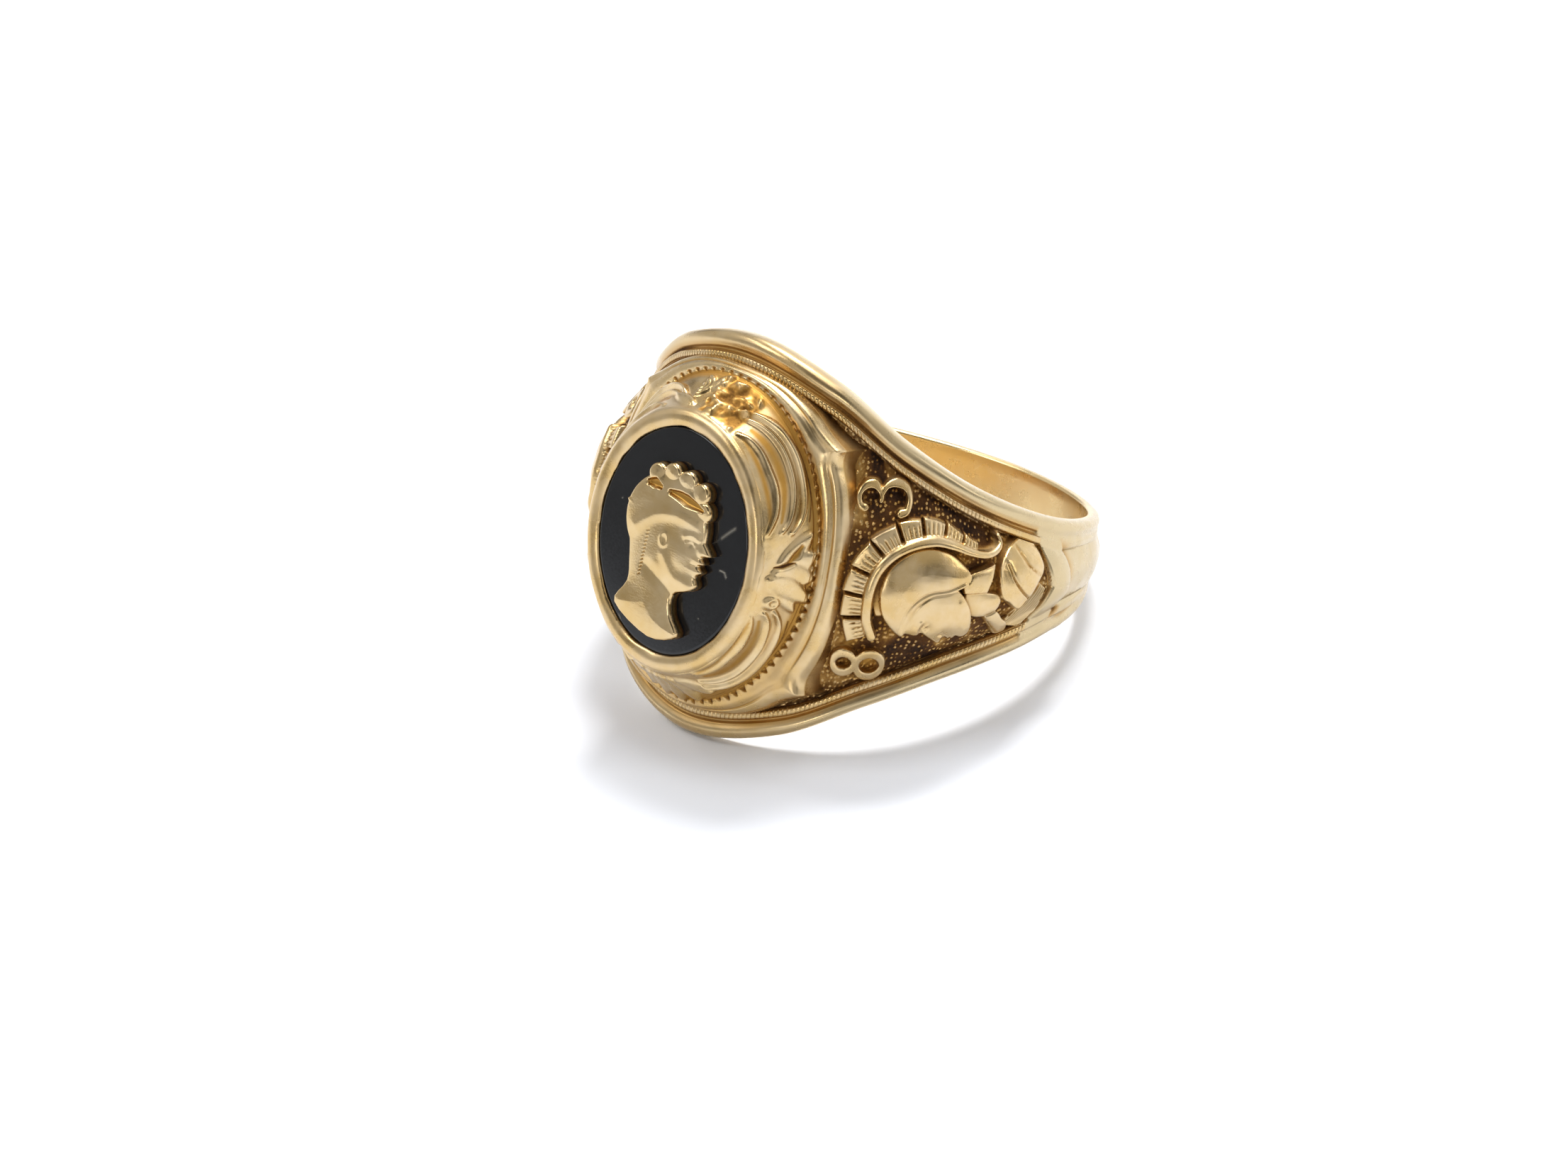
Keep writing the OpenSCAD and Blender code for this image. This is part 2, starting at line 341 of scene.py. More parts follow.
@dataclass
class Solid:
    """A closed mesh in the making: its points, faces and wear."""

    points: Array
    quads: Array
    others: list = field(default_factory=list)
    wear: dict = field(default_factory=dict)

    @classmethod
    def swept(cls, loops: Array, closed: bool, wear: dict) -> "Solid":
        """A body through a grid of loops.

        Args:
            loops: Points as rows of closed loops.
            closed: True if the last loop meets the first, else both ends are capped.
            wear: Grids by attribute; what they lack of the loops at the end is clean.

        Returns:
            The closed body.
        """
        rows, cols = loops.shape[:2]
        first, last = list(range(cols)), list(range((rows - 1) * cols, rows * cols))
        filled = {}
        for kind, grid in wear.items():
            pad = ((0, rows - grid.shape[0]), (0, cols - grid.shape[1]))
            filled[kind] = np.pad(grid, pad).reshape(-1)
        caps = [] if closed else [first[::-1], last]
        return cls(loops.reshape(-1, 3), loop_faces(rows, cols, closed), caps, filled)

    def mesh(self, name: str, pose: RestPose) -> bpy.types.Mesh:
        """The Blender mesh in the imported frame, with its faces turned outward.

        Args:
            name: The mesh's name.
            pose: How the ring lies.

        Returns:
            The mesh, with its wear attributes.
        """
        mesh = bpy.data.meshes.new(name)
        corners = [self.quads.ravel()] + [np.array(f) for f in self.others]
        sizes = np.array([4] * len(self.quads) + [len(f) for f in self.others])
        mesh.vertices.add(len(self.points))
        placed = pose.place(self.points)
        mesh.vertices.foreach_set("co", placed.astype(np.float32).ravel())
        mesh.loops.add(int(sizes.sum()))
        mesh.loops.foreach_set("vertex_index", np.concatenate(corners).astype(np.int32))
        mesh.polygons.add(len(sizes))
        starts = np.concatenate([[0], np.cumsum(sizes)[:-1]])
        mesh.polygons.foreach_set("loop_start", starts.astype(np.int32))
        mesh.polygons.foreach_set("use_smooth", np.ones(len(sizes), bool))
        mesh.update(calc_edges=True)
        q = placed[self.quads]
        across = np.cross(q[:, 2] - q[:, 0], q[:, 3] - q[:, 1])
        if ((q[:, 0] - q.mean((0, 1))) * across).sum() < 0:
            mesh.flip_normals()
        for kind in Wear:
            values = self.wear.get(kind, np.zeros(len(self.points)))
            made = mesh.attributes.new(kind.value, "FLOAT", "POINT")
            made.data.foreach_set("value", np.clip(values, 0, 1).astype(np.float32))
        return mesh


def add_piece(
    name: str, solid: Solid, pose: RestPose, material: bpy.types.Material, node: str
) -> bpy.types.Object:
    """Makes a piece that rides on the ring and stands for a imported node.

    Args:
        name: The piece's name.
        solid: Its mesh in the making.
        pose: How the ring lies.
        material: Its finish.
        node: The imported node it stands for.

    Returns:
        The Blender object.
    """
    piece = bpy.data.objects.new(name, solid.mesh(name, pose))
    bpy.context.scene.collection.objects.link(piece)
    piece.data.materials.append(material)
    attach(piece, "root")
    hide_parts(node)
    LOG.info("%s: %d faces", name, len(piece.data.polygons))
    return piece


# Finishes


def linear(code: str) -> tuple[float, float, float, float]:
    """Turns a colour to linear light.

    Args:
        code: The sRGB hex colour.

    Returns:
        Red, green, blue and a full alpha.
    """
    parts = [int(code[i : i + 2], 16) / 255 for i in (1, 3, 5)]
    light = [p / 12.92 if p <= 0.04045 else ((p + 0.055) / 1.055) ** 2.4 for p in parts]
    return (*light, 1.0)


def add_node(
    tree: bpy.types.NodeTree, kind: str, links: dict | None = None, out: int | str = 0, **settings
) -> bpy.types.NodeSocket | None:
    """Adds a node with its settings and links.

    Args:
        tree: The node tree.
        kind: The node's type, without the ShaderNode that every one begins with.
        links: By input name or number, the output socket, value or hex colour that it gets.
        out: Which output is wanted.
        settings: Properties of the node.

    Returns:
        That output, or None from a node that has no outputs.
    """
    node = tree.nodes.new("ShaderNode" + kind)
    for key, value in settings.items():
        setattr(node, key, value)
    for key, value in (links or {}).items():
        if isinstance(value, bpy.types.NodeSocket):
            tree.links.new(value, node.inputs[key])
        else:
            node.inputs[key].default_value = linear(value) if isinstance(value, str) else value
    return node.outputs[out] if len(node.outputs) else None


# What a noise texture covers, all but its rare peaks
NOISE_RANGE = {"From Min": 0.3, "From Max": 0.7}


def set_stops(colour: bpy.types.NodeSocket, *stops: tuple[float, str]) -> None:
    """Sets the stops of a colour ramp.

    Args:
        colour: The ramp's output.
        stops: Pairs of place and hex colour.
    """
    elements = colour.node.color_ramp.elements
    elements.remove(elements[-1])
    elements[0].position, elements[0].color = stops[0][0], linear(stops[0][1])
    for place, code in stops[1:]:
        elements.new(place).color = linear(code)


def new_material(name: str) -> tuple[bpy.types.Material, Callable, bpy.types.NodeSocket]:
    """Starts a node material.

    Args:
        name: The finish's name.

    Returns:
        The material, what adds its nodes, and the output that gives places in millimetres.
    """
    material = bpy.data.materials.new(name)
    material.use_nodes = True
    material.node_tree.nodes.clear()
    add = partial(add_node, material.node_tree)
    place = add("TexCoord", out="Object")
    return material, add, add("VectorMath", {0: place, "Scale": 1 / MM}, operation="SCALE")


@dataclass(frozen=True)
class CastGold:
    """Yellow gold of 14 carat, cast, polished and then worn for years.

    High places are rubbed pale and bright, hollows keep an amber tarnish, and the deepest
    hold a dark brown dirt that has no shine. The amber and the dirt also paint shade behind the
    straps, the amber paints shade on the lower half of the bezel, and the bore is painted
    brightest for the light that bounces in it. Patchy and speckled are the gain and the base with
    which the clouds break up the tarnish and the grain breaks up the dirt.
    """

    name: str = "gold_14ct_cast_and_worn"
    pale: str = "#D3BC93"
    yellow: str = "#C7A973"
    amber: str = "#AE833F"
    umber: str = "#6A4623"
    dirt: str = "#2E1A0B"
    rubbed: str = "#C1AE88"
    # Brightest gold, painted on the bore as light that bounces inside the ring
    bright: str = "#E6CC98"
    roughness: float = 0.27
    uneven: float = 0.3
    tarnish_dulls: float = 0.16
    dirt_dulls: float = 0.38
    dirt_metallic: float = 0.7
    patchy: tuple = (0.9, 0.55)
    speckled: tuple = (0.5, 0.72)
    cloud_mm: float = 1.6
    grain_mm: float = 0.09
    scratch_mm: float = 0.05
    scratch_run: float = 0.2
    scratch_turn: tuple = (0.5, 0.3, 0.8)
    scratch_stretch: tuple = (0.5, 6.0, 1.2)
    scratch_depth: float = 0.06
    grain_depth: float = 0.1
    relief_mm: float = 0.03

    def build(self) -> bpy.types.Material:
        """Makes the material.

        Returns:
            The material, led by the soot, amber and rub on the mesh.
        """
        material, add, mm = new_material(self.name)
        cloud = {"Vector": mm, "Scale": 1 / self.cloud_mm, "Detail": 4.0, "Roughness": 0.6}
        cloud = add("TexNoise", cloud)
        grain = add("TexNoise", {"Vector": mm, "Scale": 1 / self.grain_mm, "Detail": 3.0})
        soot, amber, rub = (add("Attribute", out="Fac", attribute_name=k.value) for k in Wear)
        colour, tarnish, dark, share = self.colours(add, (cloud, grain), (soot, amber, rub))
        # Polish: uneven, dulled by tarnish and gone under the dirt
        low, high = self.roughness * (1 - self.uneven), self.roughness * (1 + self.uneven)
        polish = add("MapRange", {"Value": cloud, **NOISE_RANGE, "To Min": low, "To Max": high})
        dulled = add("Math", {0: tarnish, 1: self.tarnish_dulls, 2: polish}, operation="MULTIPLY_ADD")
        rough = add("Math", {0: share, 1: self.dirt_dulls, 2: dulled}, operation="MULTIPLY_ADD")
        span = {"From Min": 0.3, "From Max": 0.9, "To Min": 1.0, "To Max": self.dirt_metallic}
        metal = add("MapRange", {"Value": dark, **span})
        # Years of small scratches, all ways, drawn wider than real ones so that they show
        stretched = {"Vector": mm, "Rotation": self.scratch_turn, "Scale": self.scratch_stretch}
        stretched = add("Mapping", stretched)
        scratch = {"Vector": stretched, "Scale": self.scratch_run / self.scratch_mm, "Detail": 2.0}
        scratch = add("TexNoise", scratch)
        fine = {"Height": scratch, "Strength": self.scratch_depth, "Distance": self.relief_mm * MM}
        fine = add("Bump", fine)
        normal = {"Height": grain, "Strength": self.grain_depth, "Distance": self.relief_mm * MM}
        normal = add("Bump", {**normal, "Normal": fine})
        finish = {"Base Color": colour, "Metallic": metal, "Roughness": rough, "Normal": normal}
        add("OutputMaterial", {"Surface": add("BsdfPrincipled", finish)})
        return material

    def colours(self, add: Callable, noises: tuple, wear: tuple) -> tuple:
        """Mixes the metal, its tarnish and the dirt.

        Args:
            add: What adds a node to the material.
            noises: The clouds and the grain.
            wear: The mesh's soot, amber and rub.

        Returns:
            The colour, how tarnished and how dark the surface is, and the dirt's share of it.
        """
        (cloud, grain), (soot, amber, rub) = noises, wear
        # Metal turns from pale to yellow in soft clouds
        clouded = add("ValToRGB", {"Fac": cloud})
        set_stops(clouded, (0.36, self.yellow), (0.62, self.pale))
        # The rails and the shank are rubbed to a straw colour; the bore, rubbed too, is painted brightest
        # for the light that bounces inside the ring
        worn = add("ValToRGB", {"Fac": rub})
        set_stops(worn, (0.5, self.rubbed), (1.0, self.bright))
        bare = add("MapRange", {"Value": rub, "From Max": 0.5})
        metal = add("Mix", {"Factor": bare, "A": clouded, "B": worn}, "Result", data_type="RGBA")
        # Tarnish follows the hollows; the amber attribute also carries painted shade behind the straps and
        # on the lower half of the bezel
        gain, base = self.patchy
        broken = add("Math", {0: cloud, 1: gain, 2: base}, operation="MULTIPLY_ADD")
        tarnish = add("Math", {0: amber, 1: broken}, operation="MULTIPLY", use_clamp=True)
        gold = add("Mix", {"Factor": tarnish, "A": metal, "B": self.amber}, "Result", data_type="RGBA")
        # Dirt sits in the deepest places; the soot attribute also carries painted shade behind the straps
        gain, base = self.speckled
        speckle = add("Math", {0: grain, 1: gain, 2: base}, operation="MULTIPLY_ADD")
        dark = add("Math", {0: soot, 1: speckle}, operation="MULTIPLY", use_clamp=True)
        dirt = add("ValToRGB", {"Fac": dark})
        set_stops(dirt, (0.25, self.amber), (0.55, self.umber), (0.9, self.dirt))
        share = add("MapRange", {"Value": dark, "From Min": 0.08, "From Max": 0.45})
        colour = add("Mix", {"Factor": share, "A": gold, "B": dirt}, "Result", data_type="RGBA")
        return colour, tarnish, dark, share


@dataclass(frozen=True)
class PolishedOnyx:
    """Black onyx, sawn flat and polished: a deep black gloss with a rubbed haze.

    The real polish marks are too fine to show, so the haze is drawn coarser.
    """

    name: str = "onyx_black_polished"
    black: str = "#0B0B0C"
    haze: str = "#1B1C1E"
    scuff: str = "#8C8678"
    roughness: float = 0.09
    scuff_dulls: float = 0.4
    ior: float = 1.54
    specular: float = 0.33
    haze_mm: float = 2.5
    rub_mm: float = 0.12
    rub_gains: tuple = (0.8, 1.6)
    rub_depth: float = 0.05
    relief_mm: float = 0.01

    def build(self) -> bpy.types.Material:
        """Makes the material; the mesh's amber attribute carries the scuffs.

        Returns:
            The material.
        """
        material, add, mm = new_material(self.name)
        cloud = add("TexNoise", {"Vector": mm, "Scale": 1 / self.haze_mm, "Detail": 5.0})
        rub = add("TexNoise", {"Vector": mm, "Scale": 1 / self.rub_mm, "Detail": 3.0})
        scuffed = add("Attribute", out="Fac", attribute_name=Wear.AMBER.value)
        body = add("Mix", {"Factor": cloud, "A": self.black, "B": self.haze}, "Result", data_type="RGBA")
        colour = add("Mix", {"Factor": scuffed, "A": body, "B": self.scuff}, "Result", data_type="RGBA")
        low, high = (self.roughness * gain for gain in self.rub_gains)
        rough = add("MapRange", {"Value": rub, **NOISE_RANGE, "To Min": low, "To Max": high})
        dull = add("Math", {0: scuffed, 1: self.scuff_dulls, 2: rough}, operation="MULTIPLY_ADD")
        dent = {"Height": rub, "Strength": self.rub_depth, "Distance": self.relief_mm * MM}
        finish = {
            "Base Color": colour,
            "Roughness": dull,
            "IOR": self.ior,
            "Specular IOR Level": self.specular,
            "Normal": add("Bump", dent),
        }
        add("OutputMaterial", {"Surface": add("BsdfPrincipled", finish)})
        return material


# The band


@dataclass
class BandForm:
    """The band's cross-section round the finger, in millimetres and degrees from the stone.

    Each section is an angle, the share of the way from the shank's width to the head's, and the
    thickness at the rim and in the middle.
    """

    bore_r: float = 9.5
    shank_w: float = 2.8
    head_w: float = 18.3
    bead_r: float = 0.42
    rail_w: float = 1.4
    ground_t: float = 0.3
    panel_tip: float = 89.1
    panel_slope: float = 1.75
    strap_end: float = 97.4
    strap_curve: float = 1.0
    dip: float = 0.22
    dip_fades: tuple = (32, 44)
    sections: Table = (
        (0, 1, 0.95, 2.2),
        (25, 0.865, 1.0, 2.75),
        (45, 0.6, 1.1, 2.85),
        (65, 0.378, 1.0, 2.35),
        (90, 0.196, 0.82, 1.5),
        (115, 0.093, 0.65, 0.92),
        (145, 0.02, 0.53, 0.82),
        (180, 0, 0.5, 0.8),
    )

    def half_width(self, angle: Array) -> Array:
        """Half of the band's width along the finger."""
        share = through_rows(self.sections, np.abs(angle), 1)
        return (self.shank_w + (self.head_w - self.shank_w) * share) / 2

    def rim_r(self, angle: Array) -> Array:
        """Radius at the rim."""
        return self.bore_r + through_rows(self.sections, np.abs(angle), 2)

    def crown_r(self, angle: Array) -> Array:
        """Radius in the middle."""
        return self.bore_r + through_rows(self.sections, np.abs(angle), 3)

    def fit(self, angle: Array) -> Array:
        """How far the rails are narrowed where the band is narrow."""
        return np.minimum(1, 0.5 * self.half_width(angle) / self.rail_w)

    def panel_w(self, angle: Array) -> Array:
        """Half width between the rails."""
        return self.half_width(angle) - self.rail_w * self.fit(angle)

    def domed_r(self, angle: Array, u: Array) -> Array:
        """Radius of the plain domed surface at a share of the way from the middle to a rail."""
        rim = self.rim_r(angle)
        return rim + (self.crown_r(angle) - rim) * (1 - u * u)

    def past_panel(self, angle: Array, z: Array) -> Array:
        """Degrees past the point in which the shoulder panel ends."""
        return np.abs(angle) - (self.panel_tip - self.panel_slope * np.abs(z))

    def past_strap(self, angle: Array, z: Array) -> Array:
        """Degrees past the strap that closes the panel."""
        return np.abs(angle) - (self.strap_end - self.strap_curve * z * z)

    def dipped(self, angle: Array, u: Array) -> Array:
        """How far the ground dips toward the bezel."""
        return self.dip * (1 - ramp(*self.dip_fades, np.abs(angle))) * (1 - u * u)


@dataclass
class Band:
    """The band with its rails, the strap that closes each panel, and the plain shank.

    The channel and its coined line stop at cut_ends, and the step past each strap has melted
    into the shank at step_fades, both in degrees from the stone.
    """

    form: BandForm
    sink: float = 0.14
    channel_from: float = 0.77
    channel_to: float = 0.97
    channel_t: float = 0.22
    cut_ends: tuple = (83.8, 84.8)
    bead_fall: float = 0.1
    bead_fades: tuple = (112, 132)
    step_t: float = 0.24
    step_fades: tuple = (99, 122)
    strap_span: float = 8.3
    strap_swell: float = 0.07
    lip: float = 0.05
    undercut_t: float = 0.05
    inner_round: float = 0.14
    dents: float = 0.008
    channel_soot: float = 0.72
    # Painted shade behind the straps: on both sides, and the extra on the lower side
    crease_painted_shade: tuple = (0.2, 0.3)
    plain_amber: float = 0.06
    channel_amber: float = 0.5
    head_amber: float = 0.22
    bore_amber: float = 0.1
    rail_cols: int = 32
    rail_crowding: float = 0.35
    panel_cols: int = 56
    bore_cols: int = 7
    corner_turns: tuple = (0, 30, 60, 90)
    row_spans: Table = (
        (-180, -114, 0.8), (-114, -80, 0.3), (-80, 80, 0.7), (80, 114, 0.3), (114, 180, 0.8),
    )

    def rows(self) -> Array:
        """Angles of the loops, closer together where the straps are."""
        return np.concatenate([np.arange(a, b - 1e-6, step) for a, b, step in self.row_spans])

    def cut(self, angle: Array) -> Array:
        """1 where the rails have their channel, 0 past its ends."""
        return 1 - ramp(*self.cut_ends, np.abs(angle))

    def rail_fall(self, angle: Array, x: Array) -> Array:
        """How far the rail lies below its rim past the bead's top.

        Args:
            angle: Degrees from the stone.
            x: Millimetres in from the edge.

        Returns:
            The fall in millimetres.
        """
        soft = 1 - ramp(*self.bead_fades, np.abs(angle))
        start, end = self.channel_from, self.channel_to
        fall = self.bead_fall * (ramp(self.form.bead_r, start, x) - ramp(end - 0.05, end + 0.02, x))
        channel = plateau(start - 0.03, start + 0.05, end - 0.07, end, x)
        cut = self.cut(angle)
        return fall * np.maximum(cut, 0.8 * soft) + channel * (self.channel_t - self.bead_fall) * cut

    def surface(self, angle: Array, z: Array) -> Array:
        """Radius of the outer surface.

        Args:
            angle: Degrees from the stone.
            z: Height along the finger.

        Returns:
            The radius in millimetres.
        """
        form = self.form
        w, rim, fit = form.half_width(angle), form.rim_r(angle), form.fit(angle)
        e = w - np.abs(z)
        bead = form.bead_r * fit
        rise = bead - np.sqrt(np.clip(bead**2 - np.clip(bead - e, 0, bead) ** 2, 0, None))
        rail = rim - rise - self.rail_fall(angle, e / fit)
        u = np.clip(np.abs(z) / form.panel_w(angle), 0, 1)
        on_panel = 1 - ramp(-0.7, 0.5, form.past_panel(angle, z))
        lowered = (form.ground_t + self.sink + form.dipped(angle, u)) * on_panel
        past = form.past_strap(angle, z)
        across = np.clip(past / self.strap_span + 1, 0, 1)
        step = self.step_t * ramp(-0.35, 0.45, past) * (1 - ramp(*self.step_fades, np.abs(angle)))
        step = step - self.strap_swell * np.sin(np.pi * across) + self.lip * bump(past - 0.4, 0.5)
        inside = ramp(form.rail_w - 0.08, form.rail_w, e / fit)
        domed = form.domed_r(angle, u)
        return rail + inside * (domed - rim - lowered - step) - self.undercut_t * self.undercut(angle, z)

    def undercut(self, angle: Array, z: Array) -> Array:
        """The line along the lower bead beyond the straps, from 0 to 1."""
        a, e = np.abs(angle), self.form.half_width(angle) - np.abs(z)
        return bump(e - 0.7, 0.1) * plateau(95, 101, 101, 116, a) * (z < 0)

    def build(self) -> Solid:
        """Makes the closed band.

        Returns:
            The band in the making.
        """
        form = self.form
        angle = self.rows()[:, None]
        w, fit, inner = form.half_width(angle), form.fit(angle), form.panel_w(angle)
        t = np.linspace(0, 1, self.rail_cols)[None, :]
        e = fit * form.rail_w * (t - self.rail_crowding * t * (1 - t))
        u = np.linspace(-1, 1, self.panel_cols)[None, 1:-1]
        z = np.concatenate([-(w - e), inner * u, (w - e)[:, ::-1]], 1)
        turn = np.radians(np.array(self.corner_turns))[None, :]
        c = self.inner_round
        corner_r = form.bore_r + c * (1 - np.sin(turn)) + 0 * w
        corner_z = w - c * (1 - np.cos(turn))
        flat = np.linspace(1, -1, self.bore_cols)[None, 1:-1] * (w - c)
        radius = [self.surface(angle, z), corner_r, form.bore_r + 0 * flat, corner_r[:, ::-1]]
        radius = np.concatenate(radius, 1)
        height = np.concatenate([z, corner_z, flat, -corner_z[:, ::-1]], 1)
        outer = z.shape[1]
        radius[:, :outer] += self.dents * soft_noise(radius.shape, 5, 11, True)[:, :outer]
        wear = self.wear(angle, z)
        # The bore gets the full rub, which paints it brightest: painted light for the light that bounces
        # inside the ring
        for kind, bore in ((Wear.AMBER, self.bore_amber), (Wear.RUB, 1.0)):
            pad = ((0, 0), (0, radius.shape[1] - outer))
            wear[kind] = np.pad(wear[kind], pad, constant_values=bore)
        return Solid.swept(around(angle, height, radius), True, wear)

    def wear(self, angle: Array, z: Array) -> dict:
        """Dirt, tarnish, rubbing and the painted shade behind the straps, on the outer surface.

        Args:
            angle: Degrees from the stone.
            z: Height along the finger.

        Returns:
            The soot, the amber and the rub.
        """
        form, a, cut = self.form, np.abs(angle), self.cut(angle)
        x = (form.half_width(angle) - np.abs(z)) / form.fit(angle)
        patches = {seed: soft_noise(x.shape, cells, seed, True) for seed, cells in ((12, 6), (13, 4))}
        # Dirt in the channel, less on the far rail, and all over the ground under the panel
        start, end = self.channel_from, self.channel_to
        channel = plateau(start - 0.06, start + 0.05, end - 0.04, end + 0.03, x) * cut
        ground = ramp(form.rail_w - 0.1, form.rail_w, x) * (1 - ramp(-0.9, -0.1, form.past_panel(angle, z)))
        far = 0.35 + 0.65 * ramp(12, 38, a)
        far = far * np.where(z > 0, 1 - 0.7 * ramp(62, 80, a), 0.4)
        # Painted shade: a darker line behind each strap that fades outward, stronger on the lower side and
        # along the undercut
        past = form.past_strap(angle, z)
        crease_shade = plateau(-0.4, 0.2, 0.3, 5.0, past) * ramp(form.rail_w * 0.5, form.rail_w, x)
        both, lower = self.crease_painted_shade
        line = (both + lower * ramp(0.2, 1.1, -z)) * crease_shade + lower * self.undercut(angle, z)
        soot = np.maximum(self.channel_soot * channel * (0.75 + 0.2 * patches[12]) * far, ground) + line
        amber = self.plain_amber + self.channel_amber * plateau(0.45, 0.75, 1.0, 1.1, x) * cut
        # The painted shade behind the straps is amber too
        amber = amber + 0.5 * crease_shade + 0.3 * line
        # Fingers keep the beads and the shank bright, but not the rails beside the bezel
        head = 1 - ramp(15, 50, a)
        amber = amber + self.head_amber * head * (0.7 + 0.3 * patches[13])
        rub = 0.5 * np.maximum(1 - ramp(0.45, 0.8, x), ramp(-0.9, 0.2, form.past_panel(angle, z)))
        # Under the painted shade behind the straps the metal is less rubbed pale
        rub = rub * (1 - 0.7 * crease_shade) * (1 - 0.6 * head)
        return {Wear.SOOT: soot, Wear.AMBER: amber, Wear.RUB: rub}


@dataclass
class Milgrain:
    """A coined line along one rail: a flat-topped ridge with fine cuts across it.

    Its profile is half of the ridge's section, as the share of the way out from its middle and
    the drop from its top.
    """

    form: BandForm
    pitch: float = 0.215
    middle: float = 1.14
    width: float = 0.34
    rise: float = 0.01
    cut: float = 0.11
    cut_share: float = 0.9
    cut_sharp: int = 8
    cut_lots: tuple = (0.55, 1.0)
    reach: float = 85.2
    step: float = 0.03
    samples: int = 4000
    rubbed_off: tuple = (62, 72)
    rubbed_share: float = 0.85
    profile: Table = ((0, -0.06), (0.4, -0.055), (0.8, -0.03), (0.98, 0.03), (1.0, 0.25))

    def build(self, side: int) -> Solid:
        """Makes the line on one rail.

        Args:
            side: 1 for the upper rail, -1 for the lower one.

        Returns:
            The line in the making.
        """
        form = self.form
        dense = np.linspace(-self.reach, self.reach, self.samples)
        place = around(dense, form.half_width(dense) - self.middle, form.rim_r(dense))
        run = lengths_along(place)
        length = np.linspace(0, run[-1], int(run[-1] / self.step))
        angle = np.interp(length, run, dense)[:, None]
        half = np.array(self.profile)
        across = np.concatenate([-half[:0:-1, 0], half[:, 0]])[None, :]
        drop = np.concatenate([half[:0:-1, 1], half[:, 1]])[None, :]
        gap = np.clip(np.abs((length / self.pitch) % 1 - 0.5) * 2, 0, 1) ** self.cut_sharp
        lot = np.random.default_rng(21 + side).uniform(*self.cut_lots, int(run[-1] / self.pitch) + 2)
        gap = gap * lot[(length / self.pitch).astype(int)]
        gap = gap * (1 - self.rubbed_share * ramp(*self.rubbed_off, angle[:, 0]) * (side > 0))
        on_top = np.abs(across) < self.cut_share
        radius = form.rim_r(angle) + self.rise - drop - self.cut * gap[:, None] * on_top
        z = side * (form.half_width(angle) + (self.width / 2 * across - self.middle) * form.fit(angle))
        soot = 0.75 * gap[:, None] * on_top + 0.6 * (np.abs(across) > self.cut_share)
        return Solid.swept(around(angle, z, radius), False, {Wear.SOOT: soot, Wear.AMBER: 0.2 + 0.5 * soot})


# Relief work


@dataclass(frozen=True)
class Mark:
    """A soft line, spot or small ring that rises or sinks, in the units of the work it is on.

    Its points are the run of a line, or the one place of a spot, which can be squeezed.
    """

    height: float
    width: float
    points: Table
    squeeze: tuple = (1.0, 1.0)
    ring: float = 0.0

    def on(self, x: Array, y: Array) -> Array:
        """What it adds to the height at each place.

        Args:
            x: Places across.
            y: Places up.

        Returns:
            The rise, negative where it sinks.
        """
        if len(self.points) > 1:
            return self.height * bump(away_from(x, y, self.points), self.width)
        (cx, cy), (wide, tall) = self.points[0], self.squeeze
        away = np.hypot((x - cx) / wide, (y - cy) / tall)
        return self.height * bump(np.abs(away - self.ring), self.width)


@dataclass
class Relief:
    """Raised work on a grid: heights over the ground, how clean it is, its tarnish and its dirt."""

    x: Array
    y: Array
    height: Array
    raised: Array
    wall: float = 0.09
    stain: Array = field(init=False)
    grime: Array = field(init=False)

    def __post_init__(self) -> None:
        """Starts with no tarnish and no dirt of its own."""
        self.stain = 0.0 * self.x
        self.grime = 0.0 * self.x

    def away(self, points: Table) -> Array:
        """Distance from a smooth line through points."""
        return away_from(self.x, self.y, points)

    def inside(self, points: Table, steps: int = 6) -> Array:
        """Distance in from a smooth closed outline, or from a straight-sided one in 1 step."""
        return depth_inside(self.x, self.y, smoothed(points, steps=steps))

    def cover(self, share: Array) -> None:
        """Counts places as fresh raised metal.

        Args:
            share: How much of each place is.
        """
        self.raised = 1 - (1 - self.raised) * (1 - share)
        self.stain = self.stain * (1 - share)
        self.grime = self.grime * (1 - share)

    def lay(self, depth: Array, top: Array) -> None:
        """Lays a raised shape over what is there.

        Args:
            depth: Distance in from its edge.
            top: Its height.
        """
        share = ramp(-self.wall * 0.4, self.wall * 0.6, depth)
        self.height = self.height * (1 - share) + top * share
        self.cover(share)

    def soil(self, stain: float | Array, grime: float | Array) -> None:
        """Adds tarnish and dirt where there is less of them."""
        self.stain = np.maximum(self.stain, stain)
        self.grime = np.maximum(self.grime, grime)

    def cut(self, away: Array, width: float, deep: float) -> None:
        """Cuts a fine line and lets dirt into it.

        Args:
            away: Distance from the line.
            width: About half of its width.
            deep: Its depth.
        """
        line = bump(away, width)
        self.height = self.height - deep * line
        self.raised = self.raised * (1 - 0.6 * line)

    def swell(self, stroke: Table, tall: float) -> None:
        """Raises a rounded ridge along a stroke over what is lower.

        Args:
            stroke: Its middle line, with the half width at each point.
            tall: Its height.
        """
        depth, half = beside_stroke(self.x, self.y, stroke)
        self.height = np.maximum(self.height, tall * half_round(depth / half))
        self.cover(ramp(0.0, 0.06, depth))

    def sink(self, stroke: Table, deep: float, stain: float, grime: float) -> None:
        """Digs a bowl along a stroke, with its tarnish and dirt.

        Args:
            stroke: Its middle line, with the half width at each point.
            deep: Its depth.
            stain: Tarnish in its middle.
            grime: Dirt in its middle.
        """
        depth, half = beside_stroke(self.x, self.y, stroke)
        bowl = half_round(depth / half)
        self.height = self.height - deep * bowl
        self.soil(stain * bowl, grime * bowl**2)


# The shoulders


